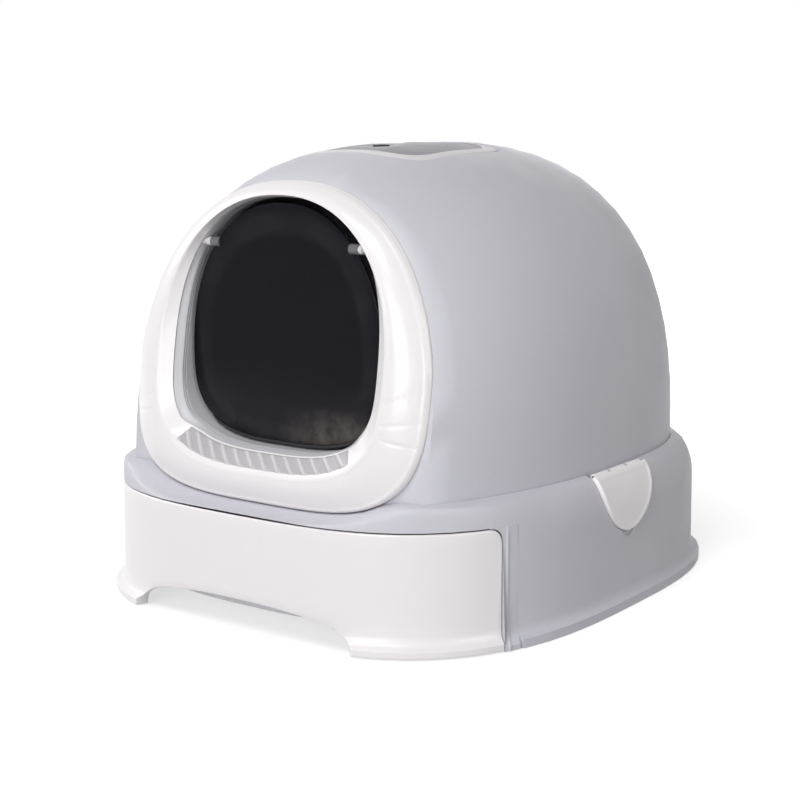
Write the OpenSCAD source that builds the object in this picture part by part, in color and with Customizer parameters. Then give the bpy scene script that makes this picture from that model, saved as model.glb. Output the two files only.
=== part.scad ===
// Hooded litter box with a pull-out litter drawer. All sizes are in millimetres.
// The origin is on the floor under the middle of the base, and the entry faces -Y.

/* [Base] */
// Width over the base walls, measured at the shoulder
base_w = 440; // [400:1:480]
// Depth over the base walls, measured at the shoulder
base_d = 515; // [495:1:560]
// Squareness of the base seen from above
base_pow = 3.05; // [2.9:0.05:3.5]
// Wall of the base, the hood and the drawer front
wall = 3; // [2.4:0.1:3.4]
// How far the foot rim flares out from the wall
foot_flare = 7; // [4:0.5:10]
// Height of the upright edge of the foot rim
foot_h = 7.5; // [5:0.5:12]
// How far the wall leans out between shoulder and floor
base_draft = 1; // [0:0.5:3]
// Height of the seam between the base and the hood
seam_z = 118; // [112:1:122]
// Height above the floor where the side shoulders start to turn in
shoulder_z = 80; // [70:1:90]
// Width of the shoulder at the sides
shoulder_side = 17; // [14:0.2:20]
// Width of the shoulder at the back
shoulder_rear = 17; // [14:1:30]
// Height of the deck under the entry ring
deck_z = 99.6; // [98:0.2:100]
// Thickness of the deck over the drawer
deck_t = 2.4; // [2:0.2:4]
// Height of the spigot that stands up inside the hood
spigot_h = 10; // [6:1:16]

/* [Hood] */
// Height from the floor to the top of the hood
total_h = 391; // [380:1:420]
// Roundness of the hood from side to side
hood_side_pow = 2.43; // [2.3:0.01:2.6]
// Roundness of the hood towards the back
hood_rear_pow = 2.9; // [2.6:0.1:3.4]
// Roundness of the hood towards the front
hood_front_pow = 2.54; // [2.4:0.01:2.7]
// Squareness of the hood's front half seen from above
hood_front_plan = 2.22; // [2.1:0.02:2.4]
// Squareness of the hood's back half seen from above
hood_rear_plan = 2.86; // [2.6:0.02:3.1]
// How far the untrimmed hood would reach past the base's front wall
hood_nose = 42; // [36:1:48]

/* [Entry ring] */
// Distance from the base's front wall back to the ring's seat, at the ring's middle
ring_back = 60.4; // [56:0.4:66]
// Height of the middle of the entry
ring_z = 216; // [210:1:220]
// How far the ring's seat leans back for each millimetre of height
ring_lean = 0.15; // [0.1:0.005:0.2]
// Height from the middle of the entry down to the ring's lower edge
ring_down = 116; // [115:0.2:116]
// How far the crest of the ring stands out from its seat
crest_out = 18.6; // [16:0.2:21]
// Half width of the opening at the crest
crest_hw = 116.8; // [114:0.2:119]
// Height of the ring's face above the opening, up to the hood's edge
ring_top_w = 11.4; // [10:0.1:14]
// Height from the middle of the entry down to the crest
crest_down = 90.4; // [89:0.2:92]
// Wall of the moulded ring
ring_t = 2.8; // [2:0.1:3.2]

/* [Tunnel and flap] */
// Half width of the entry tunnel
tunnel_hw = 103.5; // [102:0.5:105]
// How far the tunnel's ceiling lies under the crest
ceiling_drop = 2.5; // [2:0.1:4]
// Height from the middle of the entry down to the tunnel's floor
tunnel_down = 88; // [87:0.5:89]
// Wall of the tunnel
tunnel_t = 3; // [2:0.1:3.2]
// How far the tunnel reaches behind the ring's seat
tunnel_len = 30; // [26:1:36]
// Width of the flange behind the hood's front wall
flange_w = 7.5; // [7:0.1:8]
// Distance from the tunnel's ceiling down to the flap's pivot
pivot_drop = 38.2; // [36:0.2:42]
// Distance from the ring's seat at mid height back to the flap's pivot
pivot_back = 7.6; // [6:0.2:10]
// Thickness of the flap
flap_t = 2.6; // [2:0.1:3.5]
// Side gap between the flap and the tunnel
flap_gap = 2.5; // [2:0.1:4]
// Height of the flap's lower edge above the tunnel's floor
flap_lift = 18.5; // [17:0.5:22]
// Height of the soft sweep on the flap's lower edge
sweep_h = 7; // [5:0.2:8]
// Radius of the flap's pivot pins
flap_pin_r = 2.4; // [2:0.1:2.8]
// Pitch of the ribs on the sill tread, measured across the entry
rib_pitch = 13.6; // [11:0.1:18]
// Width of one rib on the sill tread
rib_w = 2.6; // [2:0.1:4]
// Height of one rib on the sill tread
rib_h = 1.2; // [0.8:0.1:1.6]

/* [Drawer] */
// Height of the drawer front's upper edge
front_top = 95.6; // [90:0.2:96]
// Distance from the base's front wall back to the ends of the drawer front
front_wrap = 97.5; // [90:0.5:105]
// Gap between the drawer front's ends and the base's side panels
front_end_gap = 4; // [3:0.5:6]
// Clearance under the drawer front
front_lift = 1; // [0.5:0.1:3]
// Half width of the finger arch
arch_hw = 113; // [95:1:120]
// Height of the finger arch above the floor
arch_h = 28; // [20:0.5:34]
// Gap between the pan's rim and the side walls
pan_gap = 24; // [22:0.5:30]
// Gap between the pan's rim and the back wall
pan_rear_gap = 17; // [14:0.5:26]
// Wall of the litter pan
pan_t = 2.5; // [2:0.1:3.5]
// Height of the pan's rim
pan_top = 92; // [80:0.5:93]
// Height of the underside of the pan
pan_z = 17.4; // [15:0.2:24]
// Wall of the rails, and of the skids that run on them
rail_t = 3; // [2:0.1:4]
// Distance from the back wall's face to the rear ends of the rails
rail_rear_gap = 117; // [100:1:150]
// How far the rail's ledge reaches in under the pan
rail_reach = 38; // [36:0.5:44]

/* [Latches] */
// Width of a latch at its hinge
latch_w = 90; // [70:1:100]
// Length of a latch from the seam to its tip
latch_len = 52.5; // [44:0.5:58]
// Thickness of a latch
latch_t = 4; // [3:0.1:5]
// Radius of the latch's hinge pin
latch_pin_r = 1.5; // [1.2:0.1:1.7]

/* [Deodoriser] */
// Half width of the lid in the top of the hood
lid_hw = 72; // [66:1:76]
// Length of the lid
lid_len = 146; // [138:1:150]
// Distance from the middle of the hood back to the lid's rear edge
lid_rear = 40; // [36:1:44]
// Depth of the lid's flat middle below the top of the hood
lid_drop = 5; // [4:0.2:6]
// Radius of the finger hole in the lid
finger_r = 6; // [5:0.5:8]
// Half width of the filter box
filter_hw = 36; // [28:0.5:40]
// Length of the filter box
filter_len = 70; // [60:1:76]
// Depth of the filter box
filter_deep = 22; // [14:0.5:30]
// Thickness of the carbon pad
pad_t = 12; // [6:0.5:13]

/* [Hidden] */

// Clearances
seat_gap = 0.3;          // between curved pieces that seat on each other
seam_gap = 0.6;          // between the hood's edge and the base's shoulder
pin_gap = 0.06;          // between a pin and its bore, on the radius
slide_gap = 0.3;         // under the skids of the pan
hinge_gap = 0.5;         // between hinge knuckles, along the pin

// Fineness of the moulded shells
FRONT_STEPS = 20;        // points across the ring's seat
BACK_STEPS = 60;         // points round the rest of the hood
STEPS = FRONT_STEPS + BACK_STEPS;
BETA_MIN = 8;            // least half angle of the front sector

// Places that several pieces share
base_hw = base_w / 2;
base_hd = base_d / 2;
hood_hw = base_hw - shoulder_side;
hood_rear = base_hd - shoulder_rear;
hood_front = base_hd + hood_nose;
hood_z0 = seam_z + 2;         // where the hood starts to curve in
seat_z = seam_z - 3;
ring_y = ring_back - base_hd;
lean_angle = atan(ring_lean);
pivot_y = ring_y + pivot_back;
sleeve_front = 11.7;     // how far the tunnel reaches in front of the ring's seat
tunnel_rear_y = pivot_y + 22;
panel_y = front_wrap + front_end_gap - base_hd;
fillet_h = 9.5;          // height of the hollow between the foot rim and the wall
deck_low = deck_z - deck_t + 1.3;
edge_front_z = 92;       // where the deck's front edge starts to turn in

// Share left of a half width at height share u, for a superellipse of power p
function se(u, p) = pow(max(0, 1 - pow(min(1, abs(u)), p)), 1 / p);
function mix(a, b, t) = a + (b - a) * t;
function smooth(t) = let (c = max(0, min(1, t))) c * c * (3 - 2 * c);
function polar_r(a, w, d, n) = pow(pow(abs(cos(a)) / w, n) + pow(abs(sin(a)) / d, n), -1 / n);
function at_angle(a, r, z) = [r * cos(a), r * sin(a), z];

// Plan radius of the base wall, grown outwards by g
function base_r(a, g) = polar_r(a, base_hw + g, base_hd + g, base_pow);
// How far the wall stands out at height z, with the foot rim's flare
function wall_out(z) = base_draft * (shoulder_z - min(z, shoulder_z)) / shoulder_z;
function flare(z) = z <= foot_h ? foot_flare
    : foot_flare * (1 - se(1 - (z - foot_h) / fillet_h, 2)) * (z < foot_h + fillet_h ? 1 : 0);

// The hood, moved inwards by t
function seat_y(z) = ring_y + ring_lean * (z - ring_z);
function hood_u(z, t) = max(0, (z - hood_z0) / (total_h - t - hood_z0));
function hood_side_at(z, t) = (hood_hw - t) * se(hood_u(z, t), hood_side_pow);
function hood_rear_at(z, t) = (hood_rear - t) * se(hood_u(z, t), hood_rear_pow);
function hood_front_at(z, t) = (hood_front - t) * se(hood_u(z, t), hood_front_pow);
function seat_half(z, t) =
    let (y = -seat_y(z) - t, f = hood_front_at(z, t))
    y < f ? hood_side_at(z, t) * se(y / f, hood_front_plan) : 0;
function hood_r(a, z, t) =
    sin(a) >= 0 ? polar_r(a, hood_side_at(z, t), hood_rear_at(z, t), hood_rear_plan)
    : min(polar_r(a, hood_side_at(z, t), hood_front_at(z, t), hood_front_plan), (seat_y(z) + t) / sin(a));
function front_half_angle(z, t) = max(BETA_MIN, atan2(seat_half(z, t), -seat_y(z) - t));
function sector_angle(k, beta) = k <= FRONT_STEPS ? -90 - beta + 2 * beta * k / FRONT_STEPS
    : -90 + beta + (360 - 2 * beta) * (k - FRONT_STEPS) / BACK_STEPS;
function hood_ring(z, t) =
    let (beta = front_half_angle(z, t))
    [for (k = [0 : STEPS - 1]) let (a = sector_angle(k, beta)) at_angle(a, hood_r(a, z, t), z)];
// Heights of the hood's sections, closer together towards the top
function hood_levels(t, n) =
    concat([seat_z], [for (j = [0 : n]) mix(hood_z0, total_h - t, sin(90 * j / n * 0.985))]);
function reversed(v) = [for (i = [len(v) - 1 : -1 : 0]) v[i]];
// Height at which the ring's seat leaves the hood, found by halving
function seat_top(lo, hi, n) = n == 0 ? lo
    : let (z = (lo + hi) / 2) seat_half(z, 0) > 0 ? seat_top(z, hi, n - 1) : seat_top(lo, z, n - 1);
ring_top_z = seat_top(ring_z, total_h, 24);
ring_hw = seat_half(ring_z, 0);
// Heights above the middle of the entry: the crest, the tunnel's ceiling and the flap's pivot
crest_up = ring_top_z - ring_z - ring_top_w;
tunnel_up = crest_up - ceiling_drop;
pivot_up = tunnel_up - pivot_drop;
pivot_z = ring_z + pivot_up;

// Closed solid through a list of point rings. An open stack gets flat ends, a loop joins last to first.
module skin(rings, loop = false, flip = false) {
    n = len(rings[0]);
    m = len(rings);
    pts = [for (r = rings) for (p = r) p];
    sides = [for (i = [0 : m - (loop ? 1 : 2)]) for (k = [0 : n - 1])
        let (j = (i + 1) % m, l = (k + 1) % n)
        each [[i * n + k, j * n + k, j * n + l], [i * n + k, j * n + l, i * n + l]]];
    ends = loop ? [] : [[for (k = [0 : n - 1]) k], [for (k = [n - 1 : -1 : 0]) (m - 1) * n + k]];
    faces = concat(sides, ends);
    polyhedron(pts, flip ? [for (f = faces) [for (i = [len(f) - 1 : -1 : 0]) f[i]]] : faces);
}

// Extrusion of a flat X-Z outline along Y, from y0 to y1
module along_y(y0, y1) { translate([0, y1, 0]) rotate([90, 0, 0]) linear_extrude(y1 - y0) children(); }
// Extrusion of a flat Y-Z outline along X, from x0 to x1
module along_x(x0, x1) { translate([x0, 0, 0]) rotate([90, 0, 90]) linear_extrude(x1 - x0) children(); }
module rod_x(x0, x1, y, z, r) { translate([x0, y, z]) rotate([0, 90, 0]) cylinder(r = r, h = x1 - x0, $fn = 48); }
module rod_y(y0, y1, x, z, r) { translate([x, y0, z]) rotate([-90, 0, 0]) cylinder(r = r, h = y1 - y0, $fn = 48); }
module block(lo, hi) { translate(lo) cube(hi - lo); }
module both_sides() { children(); mirror([1, 0, 0]) children(); }
// Frame whose X-Z plane is the ring's seat and whose +Y points into the box
module on_seat() { translate([0, ring_y, ring_z]) rotate([-lean_angle, 0, 0]) children(); }
module seat_slab(y0, y1) { on_seat() block([-300, y0, -300], [300, y1, 300]); }

// ---------------------------------------------------------------- base

// Height of the lower edge of the entry ring at x
RING_LOW_POW = 3.6;
function ring_low(x) = ring_z - ring_down * se(x / ring_hw, RING_LOW_POW);
function front_share(a) = smooth((62 - abs(a > 90 ? a - 270 : a + 90)) / 27);
function shoulder_pow(a) = mix(2, 8, front_share(a));
function edge_z(a) = mix(shoulder_z, edge_front_z, front_share(a));
function seam_r(a) = hood_r(a, seat_z, 0) + seam_gap;
function crease_z(a) = sin(a) < 0 ? min(seam_z, ring_low(seam_r(a) * cos(a)) - seam_gap) : seam_z;
function spigot_r(a) = hood_r(a, seam_z, wall + 2 * seam_gap);
function spigot_inner_r(a) = hood_r(a, seam_z, wall + 2 * seam_gap + 2.4);
function on_chord(a) = abs(a > 90 ? a - 270 : a + 90) <= front_half_angle(seam_z, 0) + 1;
function spigot_top(a) = on_chord(a) ? seat_z + 0.2 : seat_z + spigot_h;
function under_z(a) = min(crease_z(a), seam_z - 3.5) - wall;
function turn_in(a, r0, r1, z0, z1, t) =
    let (k = 2 / shoulder_pow(a))
    at_angle(a, mix(r0, r1, 1 - pow(cos(t), k)), mix(z0, z1, pow(sin(t), k)));

module base_shell() {
    beta = front_half_angle(seam_z, 0);
    angles = [for (k = [0 : STEPS - 1]) sector_angle(k, beta)];
    foot = [for (z = [0, foot_h, foot_h + 1, foot_h + 3, foot_h + 6, foot_h + fillet_h])
        [for (a = angles) at_angle(a, base_r(a, wall_out(z) + flare(z)), z)]];
    shoulder = [for (t = [0, 12, 24, 38, 54, 72, 90])
        [for (a = angles) turn_in(a, base_r(a, 0), seam_r(a), edge_z(a), crease_z(a), t)]];
    seat = [
        [for (a = angles) at_angle(a, seam_r(a) - 0.01, seat_z)],
        [for (a = angles) at_angle(a, spigot_r(a), seat_z)],
        [for (a = angles) at_angle(a, spigot_r(a), spigot_top(a))],
        [for (a = angles) at_angle(a, spigot_inner_r(a), spigot_top(a))]
    ];
    under = [for (t = [90, 66, 44, 22, 0])
        [for (a = angles) turn_in(a, base_r(a, -wall), spigot_inner_r(a), edge_z(a) - 2, under_z(a), t)]];
    inside = [for (z = [foot_h + fillet_h, 0])
        [for (a = angles) at_angle(a, base_r(a, wall_out(z) - wall), z)]];
    skin(concat(foot, shoulder, seat, under, inside), loop = true);
}

// Side profile of the shoulder at x = half width, moved outwards by off
function shoulder_point(t, off) =
    let (
        n = [cos(t) / shoulder_side, sin(t) / (seam_z - shoulder_z)],
        len_n = norm(n)
    )
    [hood_hw + shoulder_side * cos(t) + off * n[0] / len_n,
     shoulder_z + (seam_z - shoulder_z) * sin(t) + off * n[1] / len_n];
function wall_point(z, off) = [base_hw + wall_out(z) + off, z];

latch_top_t = 70;        // where on the shoulder's turn the latch starts
latch_tip_z = seam_z - latch_len;
latch_sink = 1;          // how deep the latch lies in the shoulder
latch_barrel_r = 3;
latch_pin_x = hood_hw + 3.8;
latch_pin_z = seam_z - 2.6;
latch_barrel_hw = 40;
lug_y = 12;              // nearer face of a hinge lug, from the middle of the latch
lug_w = 5;

module latch_profile(inner, outer) {
    polygon(concat(
        [wall_point(latch_tip_z - 6, inner), wall_point(latch_tip_z - 6, outer)],
        [for (t = [0 : 10 : latch_top_t]) shoulder_point(t, outer)],
        [for (t = [latch_top_t : -10 : 0]) shoulder_point(t, inner)]
    ));
}
module latch_outline(grow) {
    polygon(concat(
        [for (i = [-12 : 12]) let (y = i / 12)
            [(latch_w / 2 + grow) * sin(90 * y), seam_z - (latch_len + grow) * cos(90 * y)]],
        [[latch_w / 2 + grow, seam_z + 8], [-latch_w / 2 - grow, seam_z + 8]]
    ));
}
module latch_pocket() {
    depth = latch_sink + 0.6;
    intersection() {
        along_y(-latch_w / 2 - 2, latch_w / 2 + 2) latch_profile(-depth, 12);
        along_x(base_hw - 30, base_hw + 30) latch_outline(0.8);
    }
    // room for the hinge barrel
    block([hood_hw - 0.6, -latch_w / 2 - 0.8, latch_pin_z - latch_barrel_r - 0.6],
        [latch_pin_x + latch_barrel_r + 0.8, latch_w / 2 + 0.8, seam_z + 8]);
    // finger notch under the tip
    rod_x(base_hw + wall_out(latch_tip_z) - 2.2, base_hw + 12, 0, latch_tip_z + 8.5, 14);
}

rail_z = pan_z - 2.1 - slide_gap;
rail_web_x = base_hw - 19;
rail_y0 = panel_y + 5;
rail_y1 = base_hd - rail_rear_gap;
rail_web_h = 22;
rail_posts = [for (i = [0 : 3]) mix(rail_y0 + 31, rail_y1 - 20.5, i / 3)];
rail_screw_z = rail_z + 8;

module rail_bracket(y) {
    difference() {
        block([rail_web_x, y - 4, rail_z - 4], [base_hw, y + 4, rail_z - 4 + rail_web_h]);
        rod_x(rail_web_x - 1, rail_web_x + 9, y, rail_screw_z, 1.75 + pin_gap);
    }
}

module base_housing() {
    color([0.66, 0.67, 0.72]) difference() {
        union() {
            difference() {
                base_shell();
                // mouth for the drawer
                block([-300, -400, -10], [300, panel_y, deck_low]);
            }
            both_sides() {
                // floor of the latch's hinge pocket
                block([hood_hw - 6, -latch_w / 2 - 4, latch_pin_z - latch_barrel_r - 5],
                    [hood_hw + 5, latch_w / 2 + 4, latch_pin_z - latch_barrel_r - 0.3]);
                intersection() {
                    for (y = rail_posts) rail_bracket(y);
                    linear_extrude(100) polygon([for (a = [-90 : 6 : 90]) let (r = base_r(a, -wall + 0.8))
                        [r * cos(a), r * sin(a)]]);
                }
            }
        }
        both_sides() latch_pocket();
    }
}

module drawer_rail() {
    difference() {
        union() {
            block([rail_web_x - rail_t, rail_y0, rail_z - rail_t], [rail_web_x, rail_y1, rail_z + rail_web_h - 4]);
            block([rail_web_x - rail_reach, rail_y0, rail_z - rail_t], [rail_web_x, rail_y1, rail_z]);
        }
        for (y = rail_posts) rod_x(rail_web_x - 10, rail_web_x + 1, y, rail_screw_z, 1.75 + pin_gap);
    }
}
module drawer_rail_right() { color([0.6, 0.61, 0.66]) drawer_rail(); }
module drawer_rail_left() { color([0.6, 0.61, 0.66]) mirror([1, 0, 0]) drawer_rail(); }
module rail_screws() {
    color([0.75, 0.75, 0.77]) both_sides() for (y = rail_posts) {
        rod_x(rail_web_x - rail_t - 0.5, rail_web_x + 7, y, rail_screw_z, 1.75);
        rod_x(rail_web_x - rail_t - 2, rail_web_x - rail_t, y, rail_screw_z, 3.4);
    }
}

// ---------------------------------------------------------------- drawer

// Half width and reach of the pan at its rim
pan_hw = base_hw - pan_gap;
pan_rear = base_hd - pan_rear_gap - wall;
pan_front = base_hd - wall - seat_gap;
pan_draft = 6;
pan_rim = 4;             // width of the rolled rim
PAN_STEPS = 72;
function pan_r(a, g) = sin(a) < 0 ? polar_r(a, pan_hw + g, pan_front + g, 3) : polar_r(a, pan_hw + g, pan_rear + g, 4);
function pan_ring(z, g) = [for (k = [0 : PAN_STEPS - 1]) let (a = 360 * k / PAN_STEPS) at_angle(a, pan_r(a, g), z)];

drawer_screw_x = 60;
drawer_screw_zs = [46, 76];
function drawer_screw_y(off) = -(base_hd + off) * se(drawer_screw_x / (base_hw + off), base_pow);
boss_y = drawer_screw_y(-wall) + 4.2;

module drawer_pan() {
    foot_in = -pan_rim - pan_draft;
    difference() {
        color([0.8, 0.8, 0.82]) union() {
            skin([
                pan_ring(pan_z, foot_in - 4), pan_ring(pan_z + 2, foot_in - 1), pan_ring(pan_z + 6, foot_in),
                pan_ring(pan_top - 3, -pan_rim), pan_ring(pan_top - 3, -0.5), pan_ring(pan_top - 0.6, 0),
                pan_ring(pan_top, -1), pan_ring(pan_top, -pan_rim - pan_t),
                pan_ring(pan_z + 7, foot_in - pan_t), pan_ring(pan_z + pan_t, foot_in - 4 - pan_t)
            ]);
            // skids that run on the rails
            both_sides() block([rail_web_x - rail_reach + 4, rail_y0 + 5, pan_z - 2.1],
                [rail_web_x - rail_reach + 12, rail_y1 - 5, pan_z + 1]);
        }
        for (z = drawer_screw_zs) both_sides() rod_y(boss_y - 12, boss_y + 12, drawer_screw_x, z, 1.9);
    }
}

FRONT_HALF = 26;         // sections on each half of the drawer front
front_end_y = panel_y - front_end_gap;
front_end_x = base_hw * se(front_end_y / base_hd, base_pow);
front_half_a = atan2(front_end_x, -front_end_y);
front_corner_r = 8;
// Height of the upper edge, with a rounded corner at each end
function front_edge_z(a) =
    let (s = (front_half_a - abs(a + 90)) * PI / 180 * base_r(a, 0))
    front_top - (s < front_corner_r ? front_corner_r * (1 - se(1 - s / front_corner_r, 2)) : 0);
function front_section(a) =
    let (
        top = front_edge_z(a),
        low = front_lift,
        zs = [low, foot_h, foot_h + 1, foot_h + 3, foot_h + 6, foot_h + fillet_h, top - 5, top - 1.5]
    )
    concat(
        [for (z = zs) at_angle(a, base_r(a, wall_out(z) + flare(z)), z)],
        [at_angle(a, base_r(a, -0.8), top), at_angle(a, base_r(a, -wall), top)],
        [for (z = [foot_h + fillet_h, low]) at_angle(a, base_r(a, wall_out(z) - wall), z)]
    );

module arch_outline(grow) {
    polygon(concat(
        [for (i = [-16 : 16]) let (x = sin(90 * i / 16)) [(arch_hw + grow) * x, (arch_h + grow) * se(x, 2.6)]],
        [[arch_hw + grow, -5], [-arch_hw - grow, -5]]
    ));
}
module drawer_front() {
    color([0.93, 0.92, 0.92]) difference() {
        union() {
            difference() {
                skin([for (i = [-FRONT_HALF : FRONT_HALF])
                    front_section(-90 + front_half_a * sin(90 * i / FRONT_HALF))], flip = true);
                along_y(-base_hd - 40, -base_hd + 40) arch_outline(0);
            }
            for (z = drawer_screw_zs) both_sides()
                rod_y(drawer_screw_y(-wall) - 1, boss_y - 3.2, drawer_screw_x, z, 4);
        }
        for (z = drawer_screw_zs) both_sides()
            rod_y(drawer_screw_y(-wall) - 0.6, boss_y + 5, drawer_screw_x, z, 1.75 + pin_gap);
    }
}
// Inner face of the pan's front wall at height z, where the screw heads bear
function pan_face_y(z) =
    let (g = -pan_rim - pan_t - pan_draft * (pan_top - 3 - z) / (pan_top - pan_z - 9))
    -(pan_front + g) * se(drawer_screw_x / (pan_hw + g), 3) + 1.1;
module drawer_screws() {
    color([0.75, 0.75, 0.77]) for (z = drawer_screw_zs) both_sides() {
        rod_y(drawer_screw_y(-wall) - 0.4, pan_face_y(z) + 1, drawer_screw_x, z, 1.75);
        rod_y(pan_face_y(z), pan_face_y(z) + 2, drawer_screw_x, z, 3.4);
    }
}

// ---------------------------------------------------------------- hood

// Outline of the tunnel, grown by g
TUNNEL_TOP_POW = 2.6;
TUNNEL_LOW_POW = 3.1;
function tunnel_point(a, g) =
    let (
        c = cos(a), s = sin(a),
        p = s < 0 ? TUNNEL_LOW_POW : TUNNEL_TOP_POW,
        h = s < 0 ? tunnel_down : tunnel_up
    )
    [sign(c) * (tunnel_hw + g) * pow(abs(c), 2 / p), ring_z + sign(s) * (h + g) * pow(abs(s), 2 / p)];
TUNNEL_STEPS = 72;
module tunnel_outline(g) { polygon([for (k = [0 : TUNNEL_STEPS - 1]) tunnel_point(360 * k / TUNNEL_STEPS, g)]); }
function tunnel_half_at(z) = tunnel_hw * se((z - ring_z) / tunnel_up, TUNNEL_TOP_POW);

RING_SCREWS = [15, 48, 132, 165, 222, 318];
ring_screw_grow = 7.4;
function ring_screw_xz(a) = tunnel_point(a, ring_screw_grow);
module at_one_screw(a) {
    p = ring_screw_xz(a);
    translate([p[0], seat_y(p[1]), p[1]]) rotate([-lean_angle, 0, 0]) children();
}

lid_gap = 0.3;
lid_t = 2.4;
lid_flat_z = total_h - lid_drop;
thick_z = total_h - 29;  // where the hood's thick top starts
lid_mid_y = lid_rear - lid_len / 2;
ledge_w = 9;             // width of the ledge that carries the lid
ledge_t = 3.6;
lid_pin_r = 1.2;
lid_pin_y = lid_rear + 3;
lid_pin_z = lid_flat_z - 1.6;
lid_back_room = 8.5;     // groove behind the lid for its back edge to swing in
lid_lug_x = 26;          // inner face of the hood's lid lugs
lid_lug_w = 5;
knuckle_x = 14;          // inner face of the lid's knuckles
knuckle_r = 2.2;
cassette_z = lid_flat_z - lid_t - 0.3;   // top of the filter box's flange
vent_count = 5;
vent_pitch = 8;
vent_w = 3.5;
vent_hw = 24;
finger_y = -56;          // middle of the finger hole in the lid

module latch_lugs() {
    for (y = [lug_y, -lug_y - lug_w]) {
        rod_y(y, y + lug_w, latch_pin_x, latch_pin_z, latch_barrel_r - 0.4);
        block([hood_hw - wall + 0.4, y, latch_pin_z], [latch_pin_x, y + lug_w, latch_pin_z + 2.2]);
    }
}
module hood_shell() {
    color([0.68, 0.69, 0.74]) difference() {
        union() {
            difference() {
                skin(concat(hood_inside(), [for (z = hood_levels(0, 16)) hood_ring(z, 0)]));
                along_y(ring_y - 60, ring_y + 60) tunnel_outline(tunnel_t + 1.2);
                // recess and opening for the lid, and vent slots behind it
                lid_recess();
                translate([0, 0, thick_z - 20]) linear_extrude(60) lid_outline(-ledge_w);
                // room for the hinge knuckles
                block([-lid_lug_x + 0.01, lid_rear - 2, lid_pin_z - knuckle_r - 0.4],
                    [lid_lug_x - 0.01, lid_rear + 7, total_h]);
                for (i = [0 : vent_count - 1])
                    block([-vent_hw, vent_y(i), thick_z], [vent_hw, vent_y(i) + vent_w, total_h + 10]);
            }
            both_sides() {
                latch_lugs();
                // lugs that carry the lid's pin
                rod_x(lid_lug_x, lid_lug_x + lid_lug_w, lid_pin_y, lid_pin_z, knuckle_r);
                block([lid_lug_x, lid_pin_y - 1.6, lid_pin_z - knuckle_r - 1.4],
                    [lid_lug_x + lid_lug_w, lid_pin_y + 1.6, lid_pin_z]);
            }
        }
        both_sides() {
            rod_y(-lug_y - lug_w - 1, lug_y + lug_w + 1, latch_pin_x, latch_pin_z, latch_pin_r + pin_gap);
            rod_x(lid_lug_x - 1, lid_lug_x + lid_lug_w + 1, lid_pin_y, lid_pin_z, lid_pin_r + pin_gap);
        }
        for (a = RING_SCREWS) at_one_screw(a) rotate([-90, 0, 0])
            translate([0, 0, -2]) cylinder(r = 1.75 + pin_gap, h = 9, $fn = 32);
    }
}
function vent_y(i) = lid_rear + lid_back_room + 10 + i * vent_pitch;

// Height of the hood's outside over a plan point, found by halving
function dome_z(x, y, lo, hi, n) = n == 0 ? lo
    : let (z = (lo + hi) / 2)
    hood_r(atan2(y, x), z, 0) > norm([x, y]) ? dome_z(x, y, z, hi, n - 1) : dome_z(x, y, lo, z, n - 1);
// Point of the lid's outline seen from above, a rounded rectangle. It is scaled by s, grown by g
// and made longer at the back by room.
function lid_point(a, s, g, room) =
    let (c = cos(a), n = sin(a))
    [s * sign(c) * (lid_hw + g) * pow(abs(c), 2 / 5),
     lid_mid_y + s * sign(n) * (lid_len / 2 + g + (n > 0 ? room : 0)) * pow(abs(n), 2 / 5)];
LID_STEPS = 72;
module lid_outline(g) { polygon([for (k = [0 : LID_STEPS - 1]) lid_point(360 * k / LID_STEPS + 2, 1, g, 0)]); }
// Ring of points over the lid's outline that lies drop under the hood's surface or under the flat middle
function lid_ring(s, g, room, drop) = [for (k = [0 : LID_STEPS - 1])
    let (p = lid_point(360 * k / LID_STEPS + 2, s, g, room))
    [p[0], p[1], min(lid_flat_z, dome_z(p[0], p[1], hood_z0, total_h, 18)) - drop]];
LID_SHARES = [0.25, 0.5, 0.7, 0.85, 0.94, 1];
module lid_skin() {
    skin(concat(
        [for (s = LID_SHARES) lid_ring(s, 0, 0, lid_t)],
        [for (s = reversed(LID_SHARES)) lid_ring(s, 0, 0, 0)]
    ));
}
// Recess for the lid, with room behind it for its back edge
module lid_recess() {
    rings = [for (s = LID_SHARES) lid_ring(s, lid_gap, lid_back_room, lid_t + 0.8)];
    skin(concat(rings, [[for (p = rings[len(rings) - 1]) [p[0], p[1], total_h + 10]]]));
}
// Inside of the hood from its ceiling down to its edge. The top is thicker, to carry the lid.
top_t = lid_t + lid_gap + ledge_t;
function lowered(ring, dz) = [for (p = ring) p - [0, 0, dz]];
function hood_inside() = concat(
    [for (z = reversed([for (j = [0 : 5]) mix(thick_z, lid_flat_z, sin(90 * j / 5))]))
        lowered(hood_ring(z, 0), top_t)],
    [for (j = [9 : -1 : 0]) let (z = mix(hood_z0, thick_z - top_t - 8, sin(68 * j / 9) / sin(68)))
        hood_ring(z, wall)],
    [hood_ring(seat_z, wall)]
);

// Outer edge of the entry ring: the hood's own edge above, a rounded corner below
RING_STEPS = 80;
function ring_outer(a) =
    let (c = cos(a), s = sin(a), zu = ring_z + (ring_top_z - ring_z) * s)
    s >= 0 ? [sign(c) * seat_half(zu, 0), zu]
    : [sign(c) * ring_hw * pow(abs(c), 2 / RING_LOW_POW), ring_z - ring_down * pow(abs(s), 2 / RING_LOW_POW)];
function crest_point(a) =
    let (c = cos(a), s = sin(a), p = s < 0 ? 3.14 : 2.16, h = s < 0 ? crest_down : crest_up)
    [sign(c) * crest_hw * pow(abs(c), 2 / p), ring_z + sign(s) * h * pow(abs(s), 2 / p)];
function rim_out(a) = mix(3, 8, smooth(-sin(a) * 1.3 - 0.2));
function face_out(a, t) = mix(rim_out(a), crest_out - 0.3, pow(sin(90 * t), 0.9));
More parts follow.
